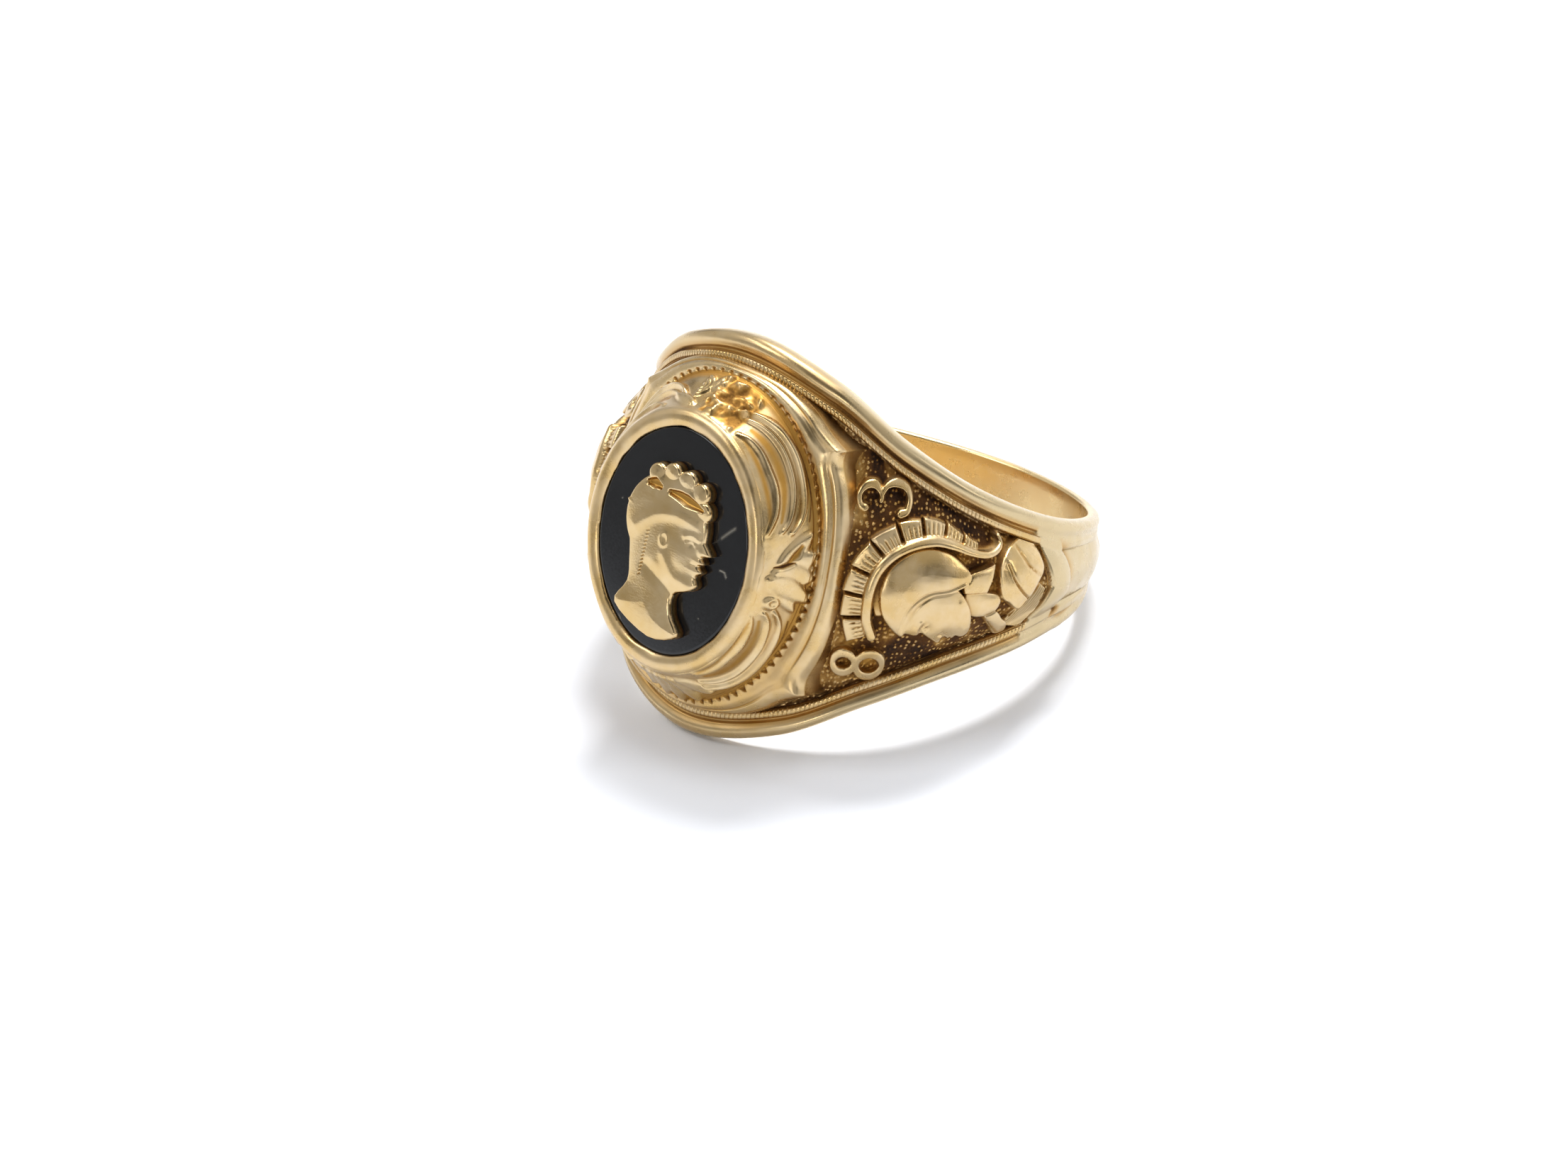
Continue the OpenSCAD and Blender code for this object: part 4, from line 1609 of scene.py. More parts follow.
@dataclass
class Carving:
    """The bezel's slope: ridges and flutes that curl round it, leaves, a toothed line and the rim.

    Places on it are the angle t, which runs in each quarter from 0 at the long side to 90 at
    the end of the oval, and q, the millimetres down the slope from the collar's foot. The work
    sits lower on the upper half and higher on the lower half, by the sway. Each ridge and flute
    is its height or depth and a stroke of angle, place down the slope and half width. The rows
    are q and then what a ring of the oval takes; the spans are where the grid's rings stand.
    """

    oval: Oval
    tooth_line: ToothLine
    bore_r: float = 9.5
    foot_t: float = 0.35
    count: int = 860
    inner_steps: tuple = (-1.3, -1.15)
    spans: tuple = ((-1.0, -0.3, 11), (-0.3, 2.5, 65), (2.5, 4.0, 27))
    degree_mm: float = 0.117
    sway: float = 0.2
    sunk: float = 0.09
    wall: float = 0.15
    flute_stain: float = 0.68
    gutter_t: float = 0.1
    gutter_grime: float = 0.6
    border_t: float = 0.07
    line_q: float = 3.15
    line_w: float = 0.075
    line_t: float = 0.05
    dents: float = 0.009
    lumps: float = 0.075
    hollow_soot: float = 0.55
    rim_turn_dark: float = 0.5
    plain_amber: float = 0.04
    hollow_amber: float = 0.7
    stain_amber: float = 1.2
    channel_amber: float = 0.75
    line_amber: float = 0.5
    tooth_amber: float = 0.9
    ear_t: float = 41.0
    ear_spans: tuple = (9, 12)
    ear_soft: float = 4.2
    ear_out: float = 0.55
    ear_up: float = 0.1
    far_ear: float = 0.45
    ridges: tuple = (
        (0.2, ((17, -0.85, 0.06), (22, -0.5, 0.14), (28, -0.3, 0.18), (36, -0.2, 0.2), (44, -0.24, 0.2),
               (52, -0.24, 0.18), (60, -0.4, 0.14), (66, -0.7, 0.06))),
        (0.24, ((17, -0.1, 0.06), (21, 0.3, 0.12), (28, 0.6, 0.16), (34, 0.76, 0.18), (44, 0.84, 0.18),
                (52, 0.78, 0.18), (60, 0.56, 0.14), (68, 0.2, 0.08))),
        (0.34, ((16, 0.4, 0.1), (20, 0.85, 0.2), (24, 1.06, 0.27), (30, 1.22, 0.32), (38, 1.32, 0.34),
                (46, 1.32, 0.34), (54, 1.2, 0.32), (62, 0.88, 0.26), (69, 0.5, 0.18), (75, 0.0, 0.08))),
    )
    flutes: tuple = (
        (0.1, ((20, -0.6, 0.16), (30, -0.6, 0.2), (44, -0.6, 0.2), (56, -0.6, 0.18), (66, -0.6, 0.1))),
        (0.19, ((21, -0.1, 0.1), (28, 0.12, 0.22), (36, 0.28, 0.32), (46, 0.3, 0.34), (54, 0.22, 0.28),
                (63, 0.0, 0.14))),
    )
    gutter: Table = ((19, 1.45), (28, 1.68), (36, 1.7), (44, 1.65), (50, 1.5), (59, 1.35), (69, 0.75))
    rows: Table = (
        (-1.3, 0.66, 0.62, 0.10, 0, 2),
        (-1.0, 0.80, 0.75, 0.12, 0, 2),
        (-0.7, 0.90, 0.84, 0.32, 0, 2),
        (-0.35, 1.03, 0.94, 0.62, 0, 2),
        (0, 1.20, 1.03, 0.90, 0.006, 2),
        (1.0, 1.75, 1.22, 1.65, 0.0139, 2),
        (2.0, 2.33, 1.50, 2.30, 0.0165, 2),
        (2.8, 2.55, 1.93, 2.50, 0.013, 2.2),
        (3.4, 2.66, 2.22, 2.70, 0.0104, 2.35),
        (3.7, 2.70, 2.41, 2.90, 0.0098, 2.4),
        (4.0, 2.72, 2.52, 3.30, 0.0098, 2.4),
    )
    middle_row: int = 6
    inner_row: Table = ((0.6, 0.55, 1.6, 0, 2),)
    side_leaves: tuple = (
        Leaf((0.2, -0.1), (1.95, 1.75), 0.55, 0.15),
        Leaf((0.0, 0.0), (1.0, 2.1), 0.6, 0.19),
        Leaf((-0.25, -0.45), (-1.95, 1.35), 0.5, 0.16),
        Leaf((0.1, -0.3), (-0.2, 2.1), 0.65, 0.19),
        Leaf((-0.2, -0.5), (-1.3, 2.05), 0.6, 0.25),
    )
    side_bowls: tuple = (
        (((0.6, 0.4, 0.1), (0.95, 0.75, 0.22), (1.35, 1.1, 0.1)), 0.13, 1.0, 0.3),
        (((0.4, -0.25, 0.06), (0.44, 0.1, 0.16), (0.52, 0.4, 0.14), (0.58, 0.75, 0.04)), 0.13, 0.5, 0.85),
    )
    side_curls: tuple = ((-1.58, -0.02, 0.4, 0.2), (0.26, 1.84, 0.15, 0.25))
    upper_leaves: tuple = (
        Leaf((-0.2, -0.7), (-1.5, 0.1), 0.42, rib=0.05),
        Leaf((0.3, -0.1), (-1.9, 0.95), 0.5, rib=0.05),
        Leaf((0.1, 0.3), (-1.1, 1.75), 0.45, rib=0.05),
        Leaf((0.4, 0.6), (-0.1, 1.9), 0.4, rib=0.05),
    )
    curls: tuple = (0.2, 0.4, 0.6)
    curl_middle: tuple = (1.2, 0.85)
    curl_half: float = 0.085
    upper_petal: Leaf = Leaf((0.6, -0.5), (2.4, 0.3), 0.3, 0.16)
    lower_petals: tuple = (
        Leaf((1.0, -0.4), (2.5, 1.2), 0.46),
        Leaf((-1.0, -0.4), (-2.5, 1.2), 0.46),
        Leaf((0.5, -0.4), (1.5, 1.75), 0.5),
        Leaf((-0.5, -0.4), (-1.5, 1.75), 0.5),
        Leaf((0.1, -0.4), (0.45, 1.95), 0.5),
        Leaf((-0.15, -0.4), (-0.55, 1.95), 0.46),
    )

    def on_slope(self, stroke: Table) -> list:
        """A stroke's angles as millimetres round the slope."""
        return [(p[0] * self.degree_mm, *p[1:]) for p in stroke]

    def lay_scrolls(self, relief: Relief) -> None:
        """Lays the curled ridges and the flutes between them, and cuts the gutter outside them.

        Args:
            relief: The work so far.
        """
        for deep, stroke in self.flutes:
            relief.sink(self.on_slope(stroke), deep, self.flute_stain, 0.0)
        for tall, stroke in self.ridges:
            relief.swell(self.on_slope(stroke), tall)
        away = relief.away(self.on_slope(self.gutter))
        relief.cut(away, 0.08, self.gutter_t)
        relief.soil(0.0, self.gutter_grime * bump(away, 0.075))

    def lay_side(self, relief: Relief) -> None:
        """Lays broad soft leaves that fan out at the middle of a long side, and two curled ends.

        Args:
            relief: The work so far.
        """
        for leaf in self.side_leaves:
            leaf.lay(relief)
        for bowl in self.side_bowls:
            relief.sink(*bowl)
        for cx, cy, r, tall in self.side_curls:
            # A round roll about a sunk eye
            away = np.hypot(relief.x - cx, relief.y - cy)
            relief.lay(r - away, tall * quarter_round(r - away, r * 0.5) - 0.9 * tall * bump(away, r * 0.4))
            relief.lay(r * 0.22 - away, tall * 0.6 + 0 * away)

    def lay_upper(self, relief: Relief) -> None:
        """Lays a ragged leaf, crusted and dark, beside the nested curls of a scroll.

        Args:
            relief: The work so far.
        """
        for leaf in self.upper_leaves:
            leaf.lay(relief)
        lumps = plateau(-2.5, -2.1, 0.0, 0.3, relief.x) * plateau(-1.0, -0.6, 1.5, 1.9, relief.y)
        shape = relief.x.shape
        rough = 0.8 * soft_noise(shape, 2, 52, True) + 0.5 * soft_noise(shape, 5, 54, True)
        relief.height = relief.height + self.lumps * rough * lumps
        stain, grime = np.clip(0.6 - 0.2 * rough, 0, 0.8), np.clip(0.26 - 0.24 * rough, 0.05, 0.5)
        relief.soil(lumps * stain, lumps * grime)
        (cx, cy), half = self.curl_middle, self.curl_half
        for r in self.curls:
            turns = np.radians(np.linspace(-80, 80, 9))
            curl = [(cx - r * math.cos(a), cy + 1.1 * r * math.sin(a), half) for a in turns]
            relief.swell(curl, 0.2 + 0.03 * r)
        self.upper_petal.lay(relief)

    def lay_lower(self, relief: Relief) -> None:
        """Lays smooth petals that overlap like shingles at the lower end."""
        for petal in self.lower_petals:
            petal.lay(relief)

    def spread_ears(self, points: Array, grid: SlopeGrid) -> None:
        """Draws the rim out into an ear at each corner, in place.

        Args:
            points: The slope's points.
            grid: Where they lie.
        """
        past = grid.folded - self.ear_t
        near, far = self.ear_spans
        sharp = np.clip(1 - np.where(past < 0, -past / near, past / far), 0, 1) ** 2
        soft = 0.8 * bump(past, self.ear_soft)
        near_rim = ramp(3.0, 3.6, grid.q)
        ear = (sharp * near_rim + soft * (1 - near_rim)) * np.clip((grid.q - 2.3) / 1.3, 0, 1)
        right = np.cos(np.radians(grid.turn))
        points[..., 0] += np.sign(right) * self.ear_out * np.where(right > 0, 1.0, self.far_ear) * ear
        points[..., 2] += np.sign(grid.up) * self.ear_up * ear

    def grid(self) -> tuple[SlopeGrid, Array]:
        """Lays out the slope.

        Returns:
            Where its places lie, and the plain surface there.
        """
        middle = self.rows[self.middle_row]
        half_l, half_w = self.oval.half_l + middle[1], self.oval.half_w + middle[2]
        turn, length, total = even_turns(half_l, half_w, self.count)
        steps = [np.linspace(*span, endpoint=False) for span in self.spans]
        steps = np.concatenate([self.inner_steps, *steps, [self.spans[-1][1]]])
        base = self.oval.slope(turn[:, None], self.rows, steps)
        turn, q = np.broadcast_arrays(turn[:, None], steps[None, :])
        return SlopeGrid(turn, q, length[:, None] + 0 * q, total, self.sway), base

    def carve(self, grid: SlopeGrid) -> Relief:
        """Lays all of the carved work.

        Args:
            grid: Where the slope's places lie.

        Returns:
            The finished work.
        """
        work = ramp(-0.85, -0.7, grid.q) * ramp(2.1, 1.95, grid.even)
        blank = 0.0 * grid.q
        relief = Relief(grid.folded * self.degree_mm, grid.even, -self.sunk * work, blank, self.wall)
        self.lay_scrolls(relief)
        for k, lay in enumerate((self.lay_side, self.lay_upper, self.lay_side, self.lay_lower)):
            relief.x, relief.y = grid.beside(k / 4), grid.q
            lay(relief)
        return relief

    def build(self) -> Solid:
        """Makes the closed bezel.

        Returns:
            The bezel in the making.
        """
        grid, base = self.grid()
        relief = self.carve(grid)
        even, tooth_q = grid.even, self.tooth_line.q
        kept = ramp(-0.9, -0.75, grid.q) * ramp(tooth_q + 0.06, tooth_q - 0.04, even)
        cut, dirty = self.tooth_line.cut(grid)
        border = self.border_t * np.sin(np.pi * np.clip((even - 2.1) / 0.85, 0, 1)) ** 0.8
        # The engraved line fades at the ears
        fades = 1 - 0.8 * plateau(27, 36, 48, 58, grid.folded)
        line = bump(even - self.line_q, self.line_w) * fades
        height = blurred(relief.height * kept, 1, True) - cut + border - self.line_t * line
        height = height + self.dents * soft_noise(even.shape, 8, 55, True)
        points = raised_along(base, height)
        self.spread_ears(points, grid)
        skirt = points[:, -1:].copy()
        bore = (self.bore_r + self.foot_t) ** 2 - skirt[..., 0] ** 2
        skirt[..., 1] = np.maximum(skirt[..., 1], -np.sqrt(np.clip(bore, 1, None)))
        inner = self.oval.ring(grid.turn[:, :1], np.array(self.inner_row))
        relief.height, relief.raised = height, relief.raised * kept
        relief.stain, relief.grime = relief.stain * kept, np.maximum(relief.grime * kept, 0.8 * dirty)
        channel = (1 - relief.raised) * kept * ramp(1.2, 1.6, even)
        wear = self.wear(grid, relief, channel, line)
        wear[Wear.AMBER] += self.tooth_amber * cut / self.tooth_line.deep
        return Solid.swept(np.concatenate([points, skirt, inner], 1), True, wear)

    def wear(self, grid: SlopeGrid, relief: Relief, channel: Array, line: Array) -> dict:
        """Dirt in every hollow, darker where the rim turns under, amber round it, and painted shade as
        amber on the lower half.

        Args:
            grid: Where the slope's places lie.
            relief: The finished work with its final heights.
            channel: Share of bare ground beside the teeth.
            line: Share of the engraved line.

        Returns:
            The soot and the amber.
        """
        deep = self.hollow_soot * hollows(relief.height, 2, 0.1, True) - 0.1
        # Darker where the rim turns under
        under_rim = self.rim_turn_dark * ramp(3.85, 4.0, grid.q)
        soot = [deep, relief.grime, 0.4 * line * grid.upper, 0.25 * channel, under_rim]
        soot = np.maximum.reduce(soot) * (0.85 + 0.12 * soft_noise(line.shape, 8, 53, True))
        wide = hollows(relief.height, 8, 0.2, True) * (1 - 0.7 * ramp(3.2, 3.6, grid.q))
        # Painted shade: amber over the lower half of the slope, fading toward the rim
        lower = 0.15 * ramp(-0.05, -0.6, grid.up) * ramp(0.9, 1.5, grid.even)
        lower = lower * (1 + 1.5 * ramp(3.6, 2.6, grid.even))
        amber = self.plain_amber + self.hollow_amber * wide + self.stain_amber * relief.stain
        amber = amber + self.channel_amber * channel + lower + self.line_amber * line
        return {Wear.SOOT: soot, Wear.AMBER: amber}


# The stone


@dataclass
class Stone:
    """The onyx: a low dome with a rounded edge and a few scuffs.

    Each scratch is its run over the face, its width and its strength; specks are single places.
    """

    oval: Oval
    gap: float = 0.006
    thick: float = 1.9
    dome: float = 0.09
    edge: float = 0.12
    count: int = 360
    rings: int = 70
    rim_rings: int = 10
    rim_share: float = 0.05
    middle_share: float = 0.004
    scratches: tuple = (
        (((2.74, 0.98), (3.05, 1.3), (3.38, 1.61)), 0.06, 0.55),
        (((2.94, -0.45), (3.19, -0.46), (3.34, -0.66)), 0.035, 0.9),
        (((2.09, 0.4), (2.74, 0.98)), 0.03, 0.12),
        (((-2.36, -4.1), (-2.28, -4.16), (-2.2, -4.28)), 0.03, 0.5),
    )
    specks: Table = ((-3.22, 1.04), (-2.82, 0.82), (0.3, -3.9), (2.2, -2.9))
    speck_r: float = 0.035
    speck_strength: float = 0.5

    def build(self) -> Solid:
        """Makes the closed stone.

        Returns:
            The stone in the making.
        """
        turn = np.radians(np.linspace(0, 360, self.count, endpoint=False))[:, None]
        rim = 1 - self.rim_share * np.cos(np.linspace(0.1, 1.0, self.rim_rings) * np.pi / 2)
        face = np.linspace(self.middle_share, 1 - self.rim_share, self.rings)
        share = np.concatenate([face, rim])[None, :]
        half_l, half_w = self.oval.half_l - self.gap, self.oval.half_w - self.gap
        x, z = half_w * np.cos(turn) * share, half_l * np.sin(turn) * share
        edge = self.edge * quarter_round((1 - share) * half_w, self.edge)
        high = self.oval.face_h - self.edge + edge + self.dome * (1 - share**2)
        points = np.stack([x, -(high + 0 * x), z], -1)
        side = points[:, -1:, :] + np.array([0, self.edge, 0])
        low = side.copy()
        low[..., 1] = self.thick - self.oval.face_h
        loops = np.concatenate([points, side, low], 1).transpose(1, 0, 2)
        return Solid.swept(loops, False, {Wear.AMBER: self.scuffs(x, z).T})

    def scuffs(self, x: Array, z: Array) -> Array:
        """Strength of the scratches and specks on the face.

        Args:
            x: Places across the stone.
            z: Places along it.

        Returns:
            The strength at each place.
        """
        marks = [strength * bump(away_from(x, z, path), w) for path, w, strength in self.scratches]
        for cx, cz in self.specks:
            marks.append(self.speck_strength * bump(np.hypot(x - cx, z - cz), self.speck_r))
        return np.maximum.reduce(marks)


# The applied head


@dataclass
class AppliedHead:
    """A thin plate of gold in the shape of a classical head, rubbed smooth by wear.

    Places on it are shares of its height, with the face to the right. Only the hollows, which
    are strokes with their half width, and the rubs are in millimetres on the stone.
    """

    oval: Oval
    tall: float = 8.0
    wide: float = 5.1
    share_w: float = 0.6
    thick: float = 0.5
    wall_share: float = 0.68
    edge_r: float = 0.13
    crown: float = 0.16
    crown_r: float = 1.9
    lift: float = 0.03
    across: float = 0.3
    along: float = -0.5
    step: float = 0.037
    left: float = 0.36
    right: float = 0.34
    reach: float = 0.54
    skull: tuple = (-0.05, 0.17)
    skull_r: float = 0.28
    nape: tuple = (165, 215, 8)
    hairline: Table = ((0.1, 0.36), (-0.1, 0.4))
    leaves: Table = ((0.175, 0.3), (0.145, 0.395), (0.045, 0.435), (-0.06, 0.45), (-0.16, 0.42))
    leaf_r: float = 0.062
    leaf_swell: float = 0.8
    leaf_turn: float = 2.4
    face: Table = (
        (-0.26, -0.1), (-0.25, -0.22), (-0.31, -0.37), (-0.05, -0.49), (0.14, -0.43), (0.08, -0.32),
        (0.07, -0.21), (0.17, -0.16), (0.215, -0.115), (0.2, -0.065), (0.235, -0.03), (0.21, 0),
        (0.24, 0.02), (0.222, 0.055), (0.265, 0.068), (0.272, 0.09), (0.19, 0.185), (0.196, 0.23),
    )
    features: tuple = (
        Mark(0.05, 0.035, ((0.17, 0.225), (0.02, 0.24), (-0.12, 0.2), (-0.24, 0.1))),  # Roll of hair
        Mark(0.035, 0.02, ((0.19, 0.15), (0.15, 0.158), (0.105, 0.145))),  # Brow
        Mark(-0.06, 0.035, ((0.145, 0.118),), (1.0, 0.8)),  # Hollow of the eye
        Mark(0.03, 0.012, ((0.175, 0.115), (0.15, 0.124), (0.118, 0.114))),  # Eyelid
        Mark(0.03, 0.02, ((0.222, 0.075),)),  # Wing of the nose
        Mark(-0.035, 0.01, ((0.22, 0.0), (0.18, 0.004))),  # Mouth
        Mark(0.05, 0.08, ((0.09, 0.03),)),  # Cheek
        Mark(0.03, 0.03, ((0.17, -0.13), (0.06, -0.1), (-0.02, 0.0))),  # Jaw
        Mark(0.03, 0.014, ((-0.03, 0.085),), (0.75, 1.0), 0.035),  # Ear
        Mark(-0.05, 0.035, ((0.07, -0.2), (-0.02, -0.15), (-0.12, -0.1))),  # Under the jaw
    )
    hollow_t: float = 0.2
    hollows: tuple = (
        ((-1.42, 2.38, 0.16), (-1.05, 2.44, 0.28), (-0.68, 2.36, 0.14)),
        ((-0.1, 2.3, 0.14), (0.45, 2.28, 0.24), (1.0, 2.17, 0.3), (1.5, 2.08, 0.22), (1.85, 2.0, 0.1)),
    )
    rub_count: int = 13
    rub_start: tuple = (-0.93, 0.32)
    rub_step: tuple = (-0.0125, -0.1725)
    rub_half: tuple = (0.05, 0.03)
    rub_w: float = 0.032
    rub_t: float = 0.02

    def outline_depth(self, p: Array, q: Array) -> Array:
        """Distance in from the plate's edge, in millimetres.

        Args:
            p: Places across, as shares of the height.
            q: Places up, likewise.

        Returns:
            The distance, negative outside.
        """
        (cx, cy), r = self.skull, self.skull_r
        turns = np.radians(np.linspace(*self.nape))
        nape = [(cx + r * math.cos(a), cy + r * math.sin(a)) for a in turns]
        parts = [depth_inside(p, q, smoothed([*nape, *self.face, *self.hairline], steps=4))]
        for (x0, y0), r in ((self.skull, self.skull_r), *((leaf, self.leaf_r) for leaf in self.leaves)):
            parts.append(r - np.hypot(p - x0, q - y0))
        return np.maximum.reduce(parts) * (self.wide / self.share_w + self.tall) / 2

    def relief(self, p: Array, q: Array, depth: Array) -> tuple[Array, Array, Array]:
        """The plate's face.

        Args:
            p: Places across, as shares of the height.
            q: Places up, likewise.
            depth: Distance in from the edge.

        Returns:
            Its height over the back, its dark rubs and its amber hollows.
        """
        top = self.thick * (self.wall_share + (1 - self.wall_share) * quarter_round(depth, self.edge_r))
        top = top + self.crown * quarter_round(depth, self.crown_r)
        # Worn leaves swell at the border, each on its own slant
        for k, (x0, y0) in enumerate(self.leaves):
            turn = self.leaf_turn * k
            lean = (q - y0) * math.cos(turn) + (p - x0) * math.sin(turn)
            top = top + self.leaf_swell * lean * bump(np.hypot(p - x0, q - y0), 0.06)
        top = top + sum(mark.on(p, q) for mark in self.features)
        x, z = p * self.wide / self.share_w + self.across, q * self.tall + self.along
        sunk = np.zeros(p.shape)
        for stroke in self.hollows:
            inside, half = beside_stroke(x, z, stroke)
            sunk = np.maximum(sunk, half_round(inside / (0.7 * half)))
        rubs = np.zeros(p.shape)
        for k in range(self.rub_count):
            cx, cz = (start + k * step for start, step in zip(self.rub_start, self.rub_step))
            dx, dz = self.rub_half
            away = away_from(x, z, ((cx - dx, cz - dz), (cx + dx, cz + dz)))
            rubs = np.maximum(rubs, (0.35 + 0.04 * k) * bump(away, self.rub_w))
        return top - self.hollow_t * sunk - self.rub_t * rubs, rubs, sunk

    def build(self) -> Solid:
        """Makes the closed plate: a grid that is trimmed along the outline, its wall and its back.

        Returns:
            The plate in the making.
        """
        px, pz = self.wide / self.share_w, self.tall
        x = np.arange(-self.left * px, self.right * px, self.step)
        z = np.arange(-self.reach * pz, self.reach * pz, self.step)
        gx, gz = np.meshgrid(x, z)
        flat, cells = trimmed_grid(gx, gz, self.outline_depth(gx / px, gz / pz))
        p, q = flat[:, 0] / px, flat[:, 1] / pz
        inside = np.maximum(self.outline_depth(p, q), 0)
        top, rubs, sunk = self.relief(p, q, inside)
        base = self.oval.face_h + self.lift
        upper = np.stack([flat[:, 0] + self.across, -(base + top), flat[:, 1] + self.along], -1)
        loop = border_loop(cells)
        lower = upper[loop]
        lower[:, 1] = -base
        size = len(loop)
        under = np.arange(size) + len(flat)
        walls = np.stack([np.roll(loop, -1), loop, under, np.roll(under, -1)], -1)
        edge = 1 - ramp(0.0, 0.1, inside)
        soot = np.concatenate([0.8 * rubs * (rubs > 0.3) + 0.1 * edge + 0.12 * sunk, np.full(size, 0.7)])
        amber = np.concatenate([0.2 * edge + 1.2 * rubs + 1.1 * sunk + 0.05, np.full(size, 0.8)])
        others = [list(c) for c in cells] + [list(under[::-1])]
        return Solid(np.vstack([upper, lower]), walls, others, {Wear.SOOT: soot, Wear.AMBER: amber})


def trimmed_grid(gx: Array, gy: Array, depth: Array, least: float = 0.03) -> tuple[Array, list]:
    """A square grid cut off along the line where depth is 0.

    Args:
        gx: Places across.
        gy: Places up.
        depth: Positive inside.
        least: The smallest share of an edge that a cut leaves.

    Returns:
        The points, and the faces as lists of point numbers.
    """
    points: list = []
    number: dict = {}

    def between(a: tuple, b: tuple) -> int:
        """Finds or makes the point where an edge is cut, or a corner itself.

        Args:
            a: One corner, as row and column.
            b: The other corner, or the same one.

        Returns:
            The point's number.
        """
        key = (min(a, b), max(a, b))
        if key not in number:
            a, b = key
            t = 0.0 if a == b else min(max(depth[a] / (depth[a] - depth[b]), least), 1 - least)
            number[key] = len(points)
            points.append((gx[a] + t * (gx[b] - gx[a]), gy[a] + t * (gy[b] - gy[a])))
        return number[key]

    cells = []
    inside = depth > 0
    touched = inside[:-1, :-1] | inside[1:, :-1] | inside[:-1, 1:] | inside[1:, 1:]
    for i, j in zip(*np.nonzero(touched)):
        square = [(i, j), (i, j + 1), (i + 1, j + 1), (i + 1, j)]
        face = []
        for a, b in zip(square, square[1:] + square[:1]):
            if inside[a]:
                face.append(between(a, a))
            if inside[a] != inside[b]:
                face.append(between(a, b))
        if len(face) > 2:
            cells.append(face)
    return np.array(points), cells


def border_loop(cells: list) -> Array:
    """Point numbers round the border of faces, in the faces' own direction.

    Args:
        cells: Faces as lists of point numbers.

    Returns:
        The border's point numbers in order.
    """
    seen = {(a, b) for face in cells for a, b in zip(face, face[1:] + face[:1])}
    after = {a: b for a, b in seen if (b, a) not in seen}
    loop = [min(after)]
    while after[loop[-1]] != loop[0]:
        loop.append(after[loop[-1]])
    return np.array(loop)


# The studio


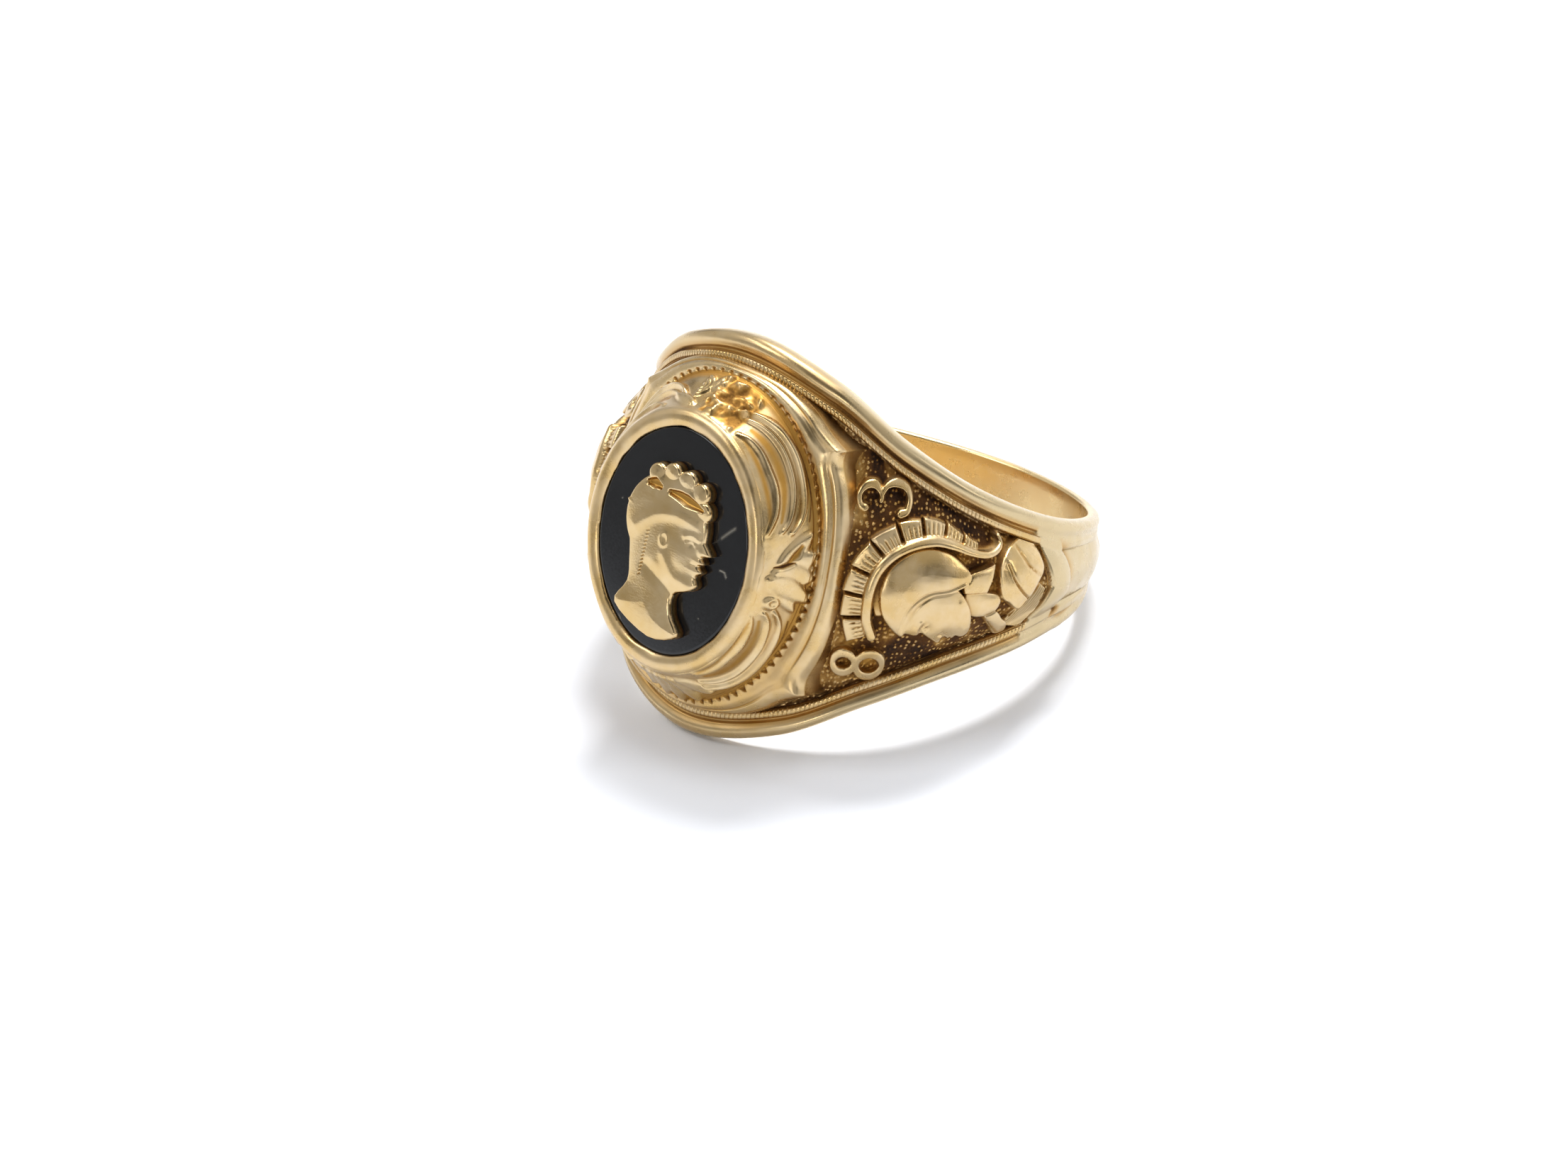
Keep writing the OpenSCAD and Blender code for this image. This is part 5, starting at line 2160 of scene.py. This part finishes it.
@dataclass
class Studio:
    """A pale table under soft lamps, and the camera.

    A board is the direction it hangs in, the cosines at which it starts and is full, and how
    grey it is. A lamp is its place in metres, its width and height, and its watts.
    """

    pose: RestPose
    azimuth: float = 38.851
    elevation: float = 15.234
    roll: float = 9.854
    distance: float = 600.0
    aim_right: float = -3.275
    aim_up: float = -3.943
    focal_px: float = 18932.7
    image_w: int = 2212
    sensor_mm: float = 36.0
    clip_m: tuple = (0.01, 10.0)
    floor_m: float = 1.2
    floor_flat: float = 0.3
    floor_sweep: float = 0.25
    floor_top: float = 0.9
    floor_steps: int = 24
    floor_colour: str = "#EDF0F6"
    floor_roughness: float = 0.9
    white: str = "#FFFFFF"
    grey: str = "#4E4A42"
    patch_scale: float = 1.7
    patch_span: tuple = (0.55, 0.61)
    ripple: float = 0.2
    boards: tuple = (
        ((0.3, -0.43, 0.85), 0.87, 0.95, 1.0),
        ((-0.605, -0.795, 0.036), 0.82, 0.96, 0.3),
        ((0.85, 0.19, 0.49), 0.93, 0.98, 0.25),
        ((0.1, 0.2, 0.97), 0.93, 0.97, 0.75),
    )
    window: tuple = (0.82, -0.51, 0.26)
    window_span: tuple = (0.95, 0.98)
    window_grey: float = 0.15
    room_light: float = 0.7
    ring_middle: tuple = (0, 0, 0.008)
    lamps: tuple = (
        ("key_softbox", (-0.3, -0.35, 0.62), (0.25, 0.25), 1.2),
        ("overhead_softbox", (0.05, 0.1, 0.8), (0.3, 0.3), 1.3),
        ("side_softbox", (0.6, 0.45, 0.3), (0.12, 0.25), 0.4),
        ("back_softbox", (-0.16, 0.38, 0.68), (0.24, 0.2), 5.4),
        ("front_softbox", (0.15, -0.53, 0.22), (0.16, 0.16), 0.3),
        ("spark", (-0.45, -0.1, 0.6), (0.08, 0.08), 0.3),
    )

    def set_camera(self) -> None:
        """Sets the camera at the photograph's angle to the ring."""
        a, e, r = (math.radians(v) for v in (self.azimuth, self.elevation, self.roll))
        back = Vector((math.sin(a) * math.cos(e), -math.cos(a) * math.cos(e), math.sin(e)))
        right = Vector((math.cos(a), math.sin(a), 0))
        up = back.cross(right)
        place = right * self.aim_right + up * self.aim_up + back * self.distance
        rolled_right = right * math.cos(r) + up * math.sin(r)
        rolled_up = up * math.cos(r) - right * math.sin(r)
        columns = [self.pose.turn(v) for v in (rolled_right, rolled_up, back)]
        data = bpy.data.cameras.new("camera")
        data.sensor_width = self.sensor_mm
        data.lens = self.focal_px * self.sensor_mm / self.image_w
        data.clip_start, data.clip_end = self.clip_m
        camera = bpy.data.objects.new("camera", data)
        turn = Matrix([[c[i] for c in columns] for i in range(3)]).to_4x4()
        spot = self.pose.turn(place) * MM + self.pose.centre
        camera.matrix_world = Matrix.Translation(spot) @ turn
        bpy.context.scene.collection.objects.link(camera)
        bpy.context.scene.camera = camera

    def hang_lamps(self) -> None:
        """Hangs the soft boxes, each turned to the ring."""
        for name, place, size, watts in self.lamps:
            data = bpy.data.lights.new(name, "AREA")
            data.shape = "RECTANGLE"
            data.size, data.size_y = size
            data.energy = watts
            lamp = bpy.data.objects.new(name, data)
            lamp.location = place
            toward = Vector(place) - Vector(self.ring_middle)
            lamp.rotation_euler = toward.to_track_quat("Z", "Y").to_euler()
            bpy.context.scene.collection.objects.link(lamp)

    def lay_table(self) -> None:
        """Lays a pale table top that sweeps up at the back."""
        half, start, sweep = self.floor_m / 2, self.floor_flat * self.floor_m, self.floor_sweep
        turns = [math.radians(90 * k / self.floor_steps) for k in range(self.floor_steps + 1)]
        curve = [(start + sweep * math.sin(t), sweep * (1 - math.cos(t))) for t in turns]
        profile = [(-half, 0.0), *curve, (curve[-1][0], self.floor_top)]
        points = [(side * self.floor_m, y, z) for y, z in profile for side in (-1, 1)]
        faces = [(2 * k, 2 * k + 1, 2 * k + 3, 2 * k + 2) for k in range(len(profile) - 1)]
        mesh = bpy.data.meshes.new("table")
        mesh.from_pydata(points, [], faces)
        mesh.polygons.foreach_set("use_smooth", [True] * len(faces))
        table = bpy.data.objects.new("table", mesh)
        bpy.context.scene.collection.objects.link(table)
        # Matt white paper: it has no gloss, so only the ring's shadow shows on it
        material = bpy.data.materials.new("paper_white_matt")
        material.use_nodes = True
        shader = material.node_tree.nodes["Principled BSDF"]
        shader.inputs["Base Color"].default_value = linear(self.floor_colour)
        shader.inputs["Roughness"].default_value = self.floor_roughness
        mesh.materials.append(material)

    def set_surround(self) -> None:
        """A white room with grey boards in it for the metal to mirror."""
        world = bpy.data.worlds.new("studio")
        world.use_nodes = True
        world.node_tree.nodes.clear()
        add = partial(add_node, world.node_tree)
        way = add("TexCoord", out="Generated")
        spread = add("TexNoise", {"Vector": way, "Scale": self.patch_scale, "Detail": 2.0})
        low, high = self.patch_span
        grey = add("MapRange", {"Value": spread, "From Min": low, "From Max": high})
        for toward, start, full, share in self.boards:
            near = add("VectorMath", {0: way, 1: toward}, "Value", operation="DOT_PRODUCT")
            wavy = add("Math", {0: spread, 1: self.ripple, 2: near}, operation="MULTIPLY_ADD")
            # Half of the ripple is its mean
            span = {"From Min": start + self.ripple / 2, "From Max": full + self.ripple / 2}
            board = add("MapRange", {"Value": wavy, **span, "To Max": share})
            grey = add("Math", {0: grey, 1: board}, operation="MAXIMUM")
        ahead = add("VectorMath", {0: way, 1: self.window}, "Value", operation="DOT_PRODUCT")
        low, high = self.window_span
        span = {"From Min": low, "From Max": high, "To Min": 1.0, "To Max": self.window_grey}
        clear = add("MapRange", {"Value": ahead, **span})
        grey = add("Math", {0: grey, 1: clear}, operation="MULTIPLY")
        shade = add("Mix", {"Factor": grey, "A": self.white, "B": self.grey}, "Result", data_type="RGBA")
        light = add("Background", {"Color": shade, "Strength": self.room_light})
        add("OutputWorld", {"Surface": light})
        bpy.context.scene.world = world

    def build(self) -> None:
        """Sets up all of it, with colours shown as they are."""
        bpy.context.scene.view_settings.view_transform = "Standard"
        self.set_camera()
        self.lay_table()
        self.set_surround()
        self.hang_lamps()
        LOG.info("studio: %d lamps", len(self.lamps))


def main() -> None:
    """Builds the ring piece by piece, then the studio."""
    logging.basicConfig(level=logging.INFO, format="%(name)s %(message)s")
    hole = frame["record"]["mounts"][0]
    pose = RestPose(Vector(hole["pos_m"]), Vector(hole["axis"]))
    form, oval = BandForm(), Oval()
    near = Shoulder(form, Helmet()).build()
    casting = {
        "band": Band(form).build(),
        "milgrain_upper": Milgrain(form).build(1),
        "milgrain_lower": Milgrain(form).build(-1),
        "shoulder_near": near,
        "shoulder_far": Shoulder.turned(near),
        "bezel_carving": Carving(oval, ToothLine()).build(),
        "bezel_collar": Collar(oval).build(),
    }
    gold = CastGold().build()
    for name, solid in casting.items():
        add_piece(name, solid, pose, gold, "ring_body")
    add_piece("stone", Stone(oval).build(), pose, PolishedOnyx().build(), "onyx_stone")
    rubbed_gold = CastGold(name="gold_14ct_rubbed_smooth", roughness=0.17, cloud_mm=2.4).build()
    add_piece("head", AppliedHead(oval).build(), pose, rubbed_gold, "applied_head")
    Studio(pose).build()


if __name__ == "__main__":
    main()
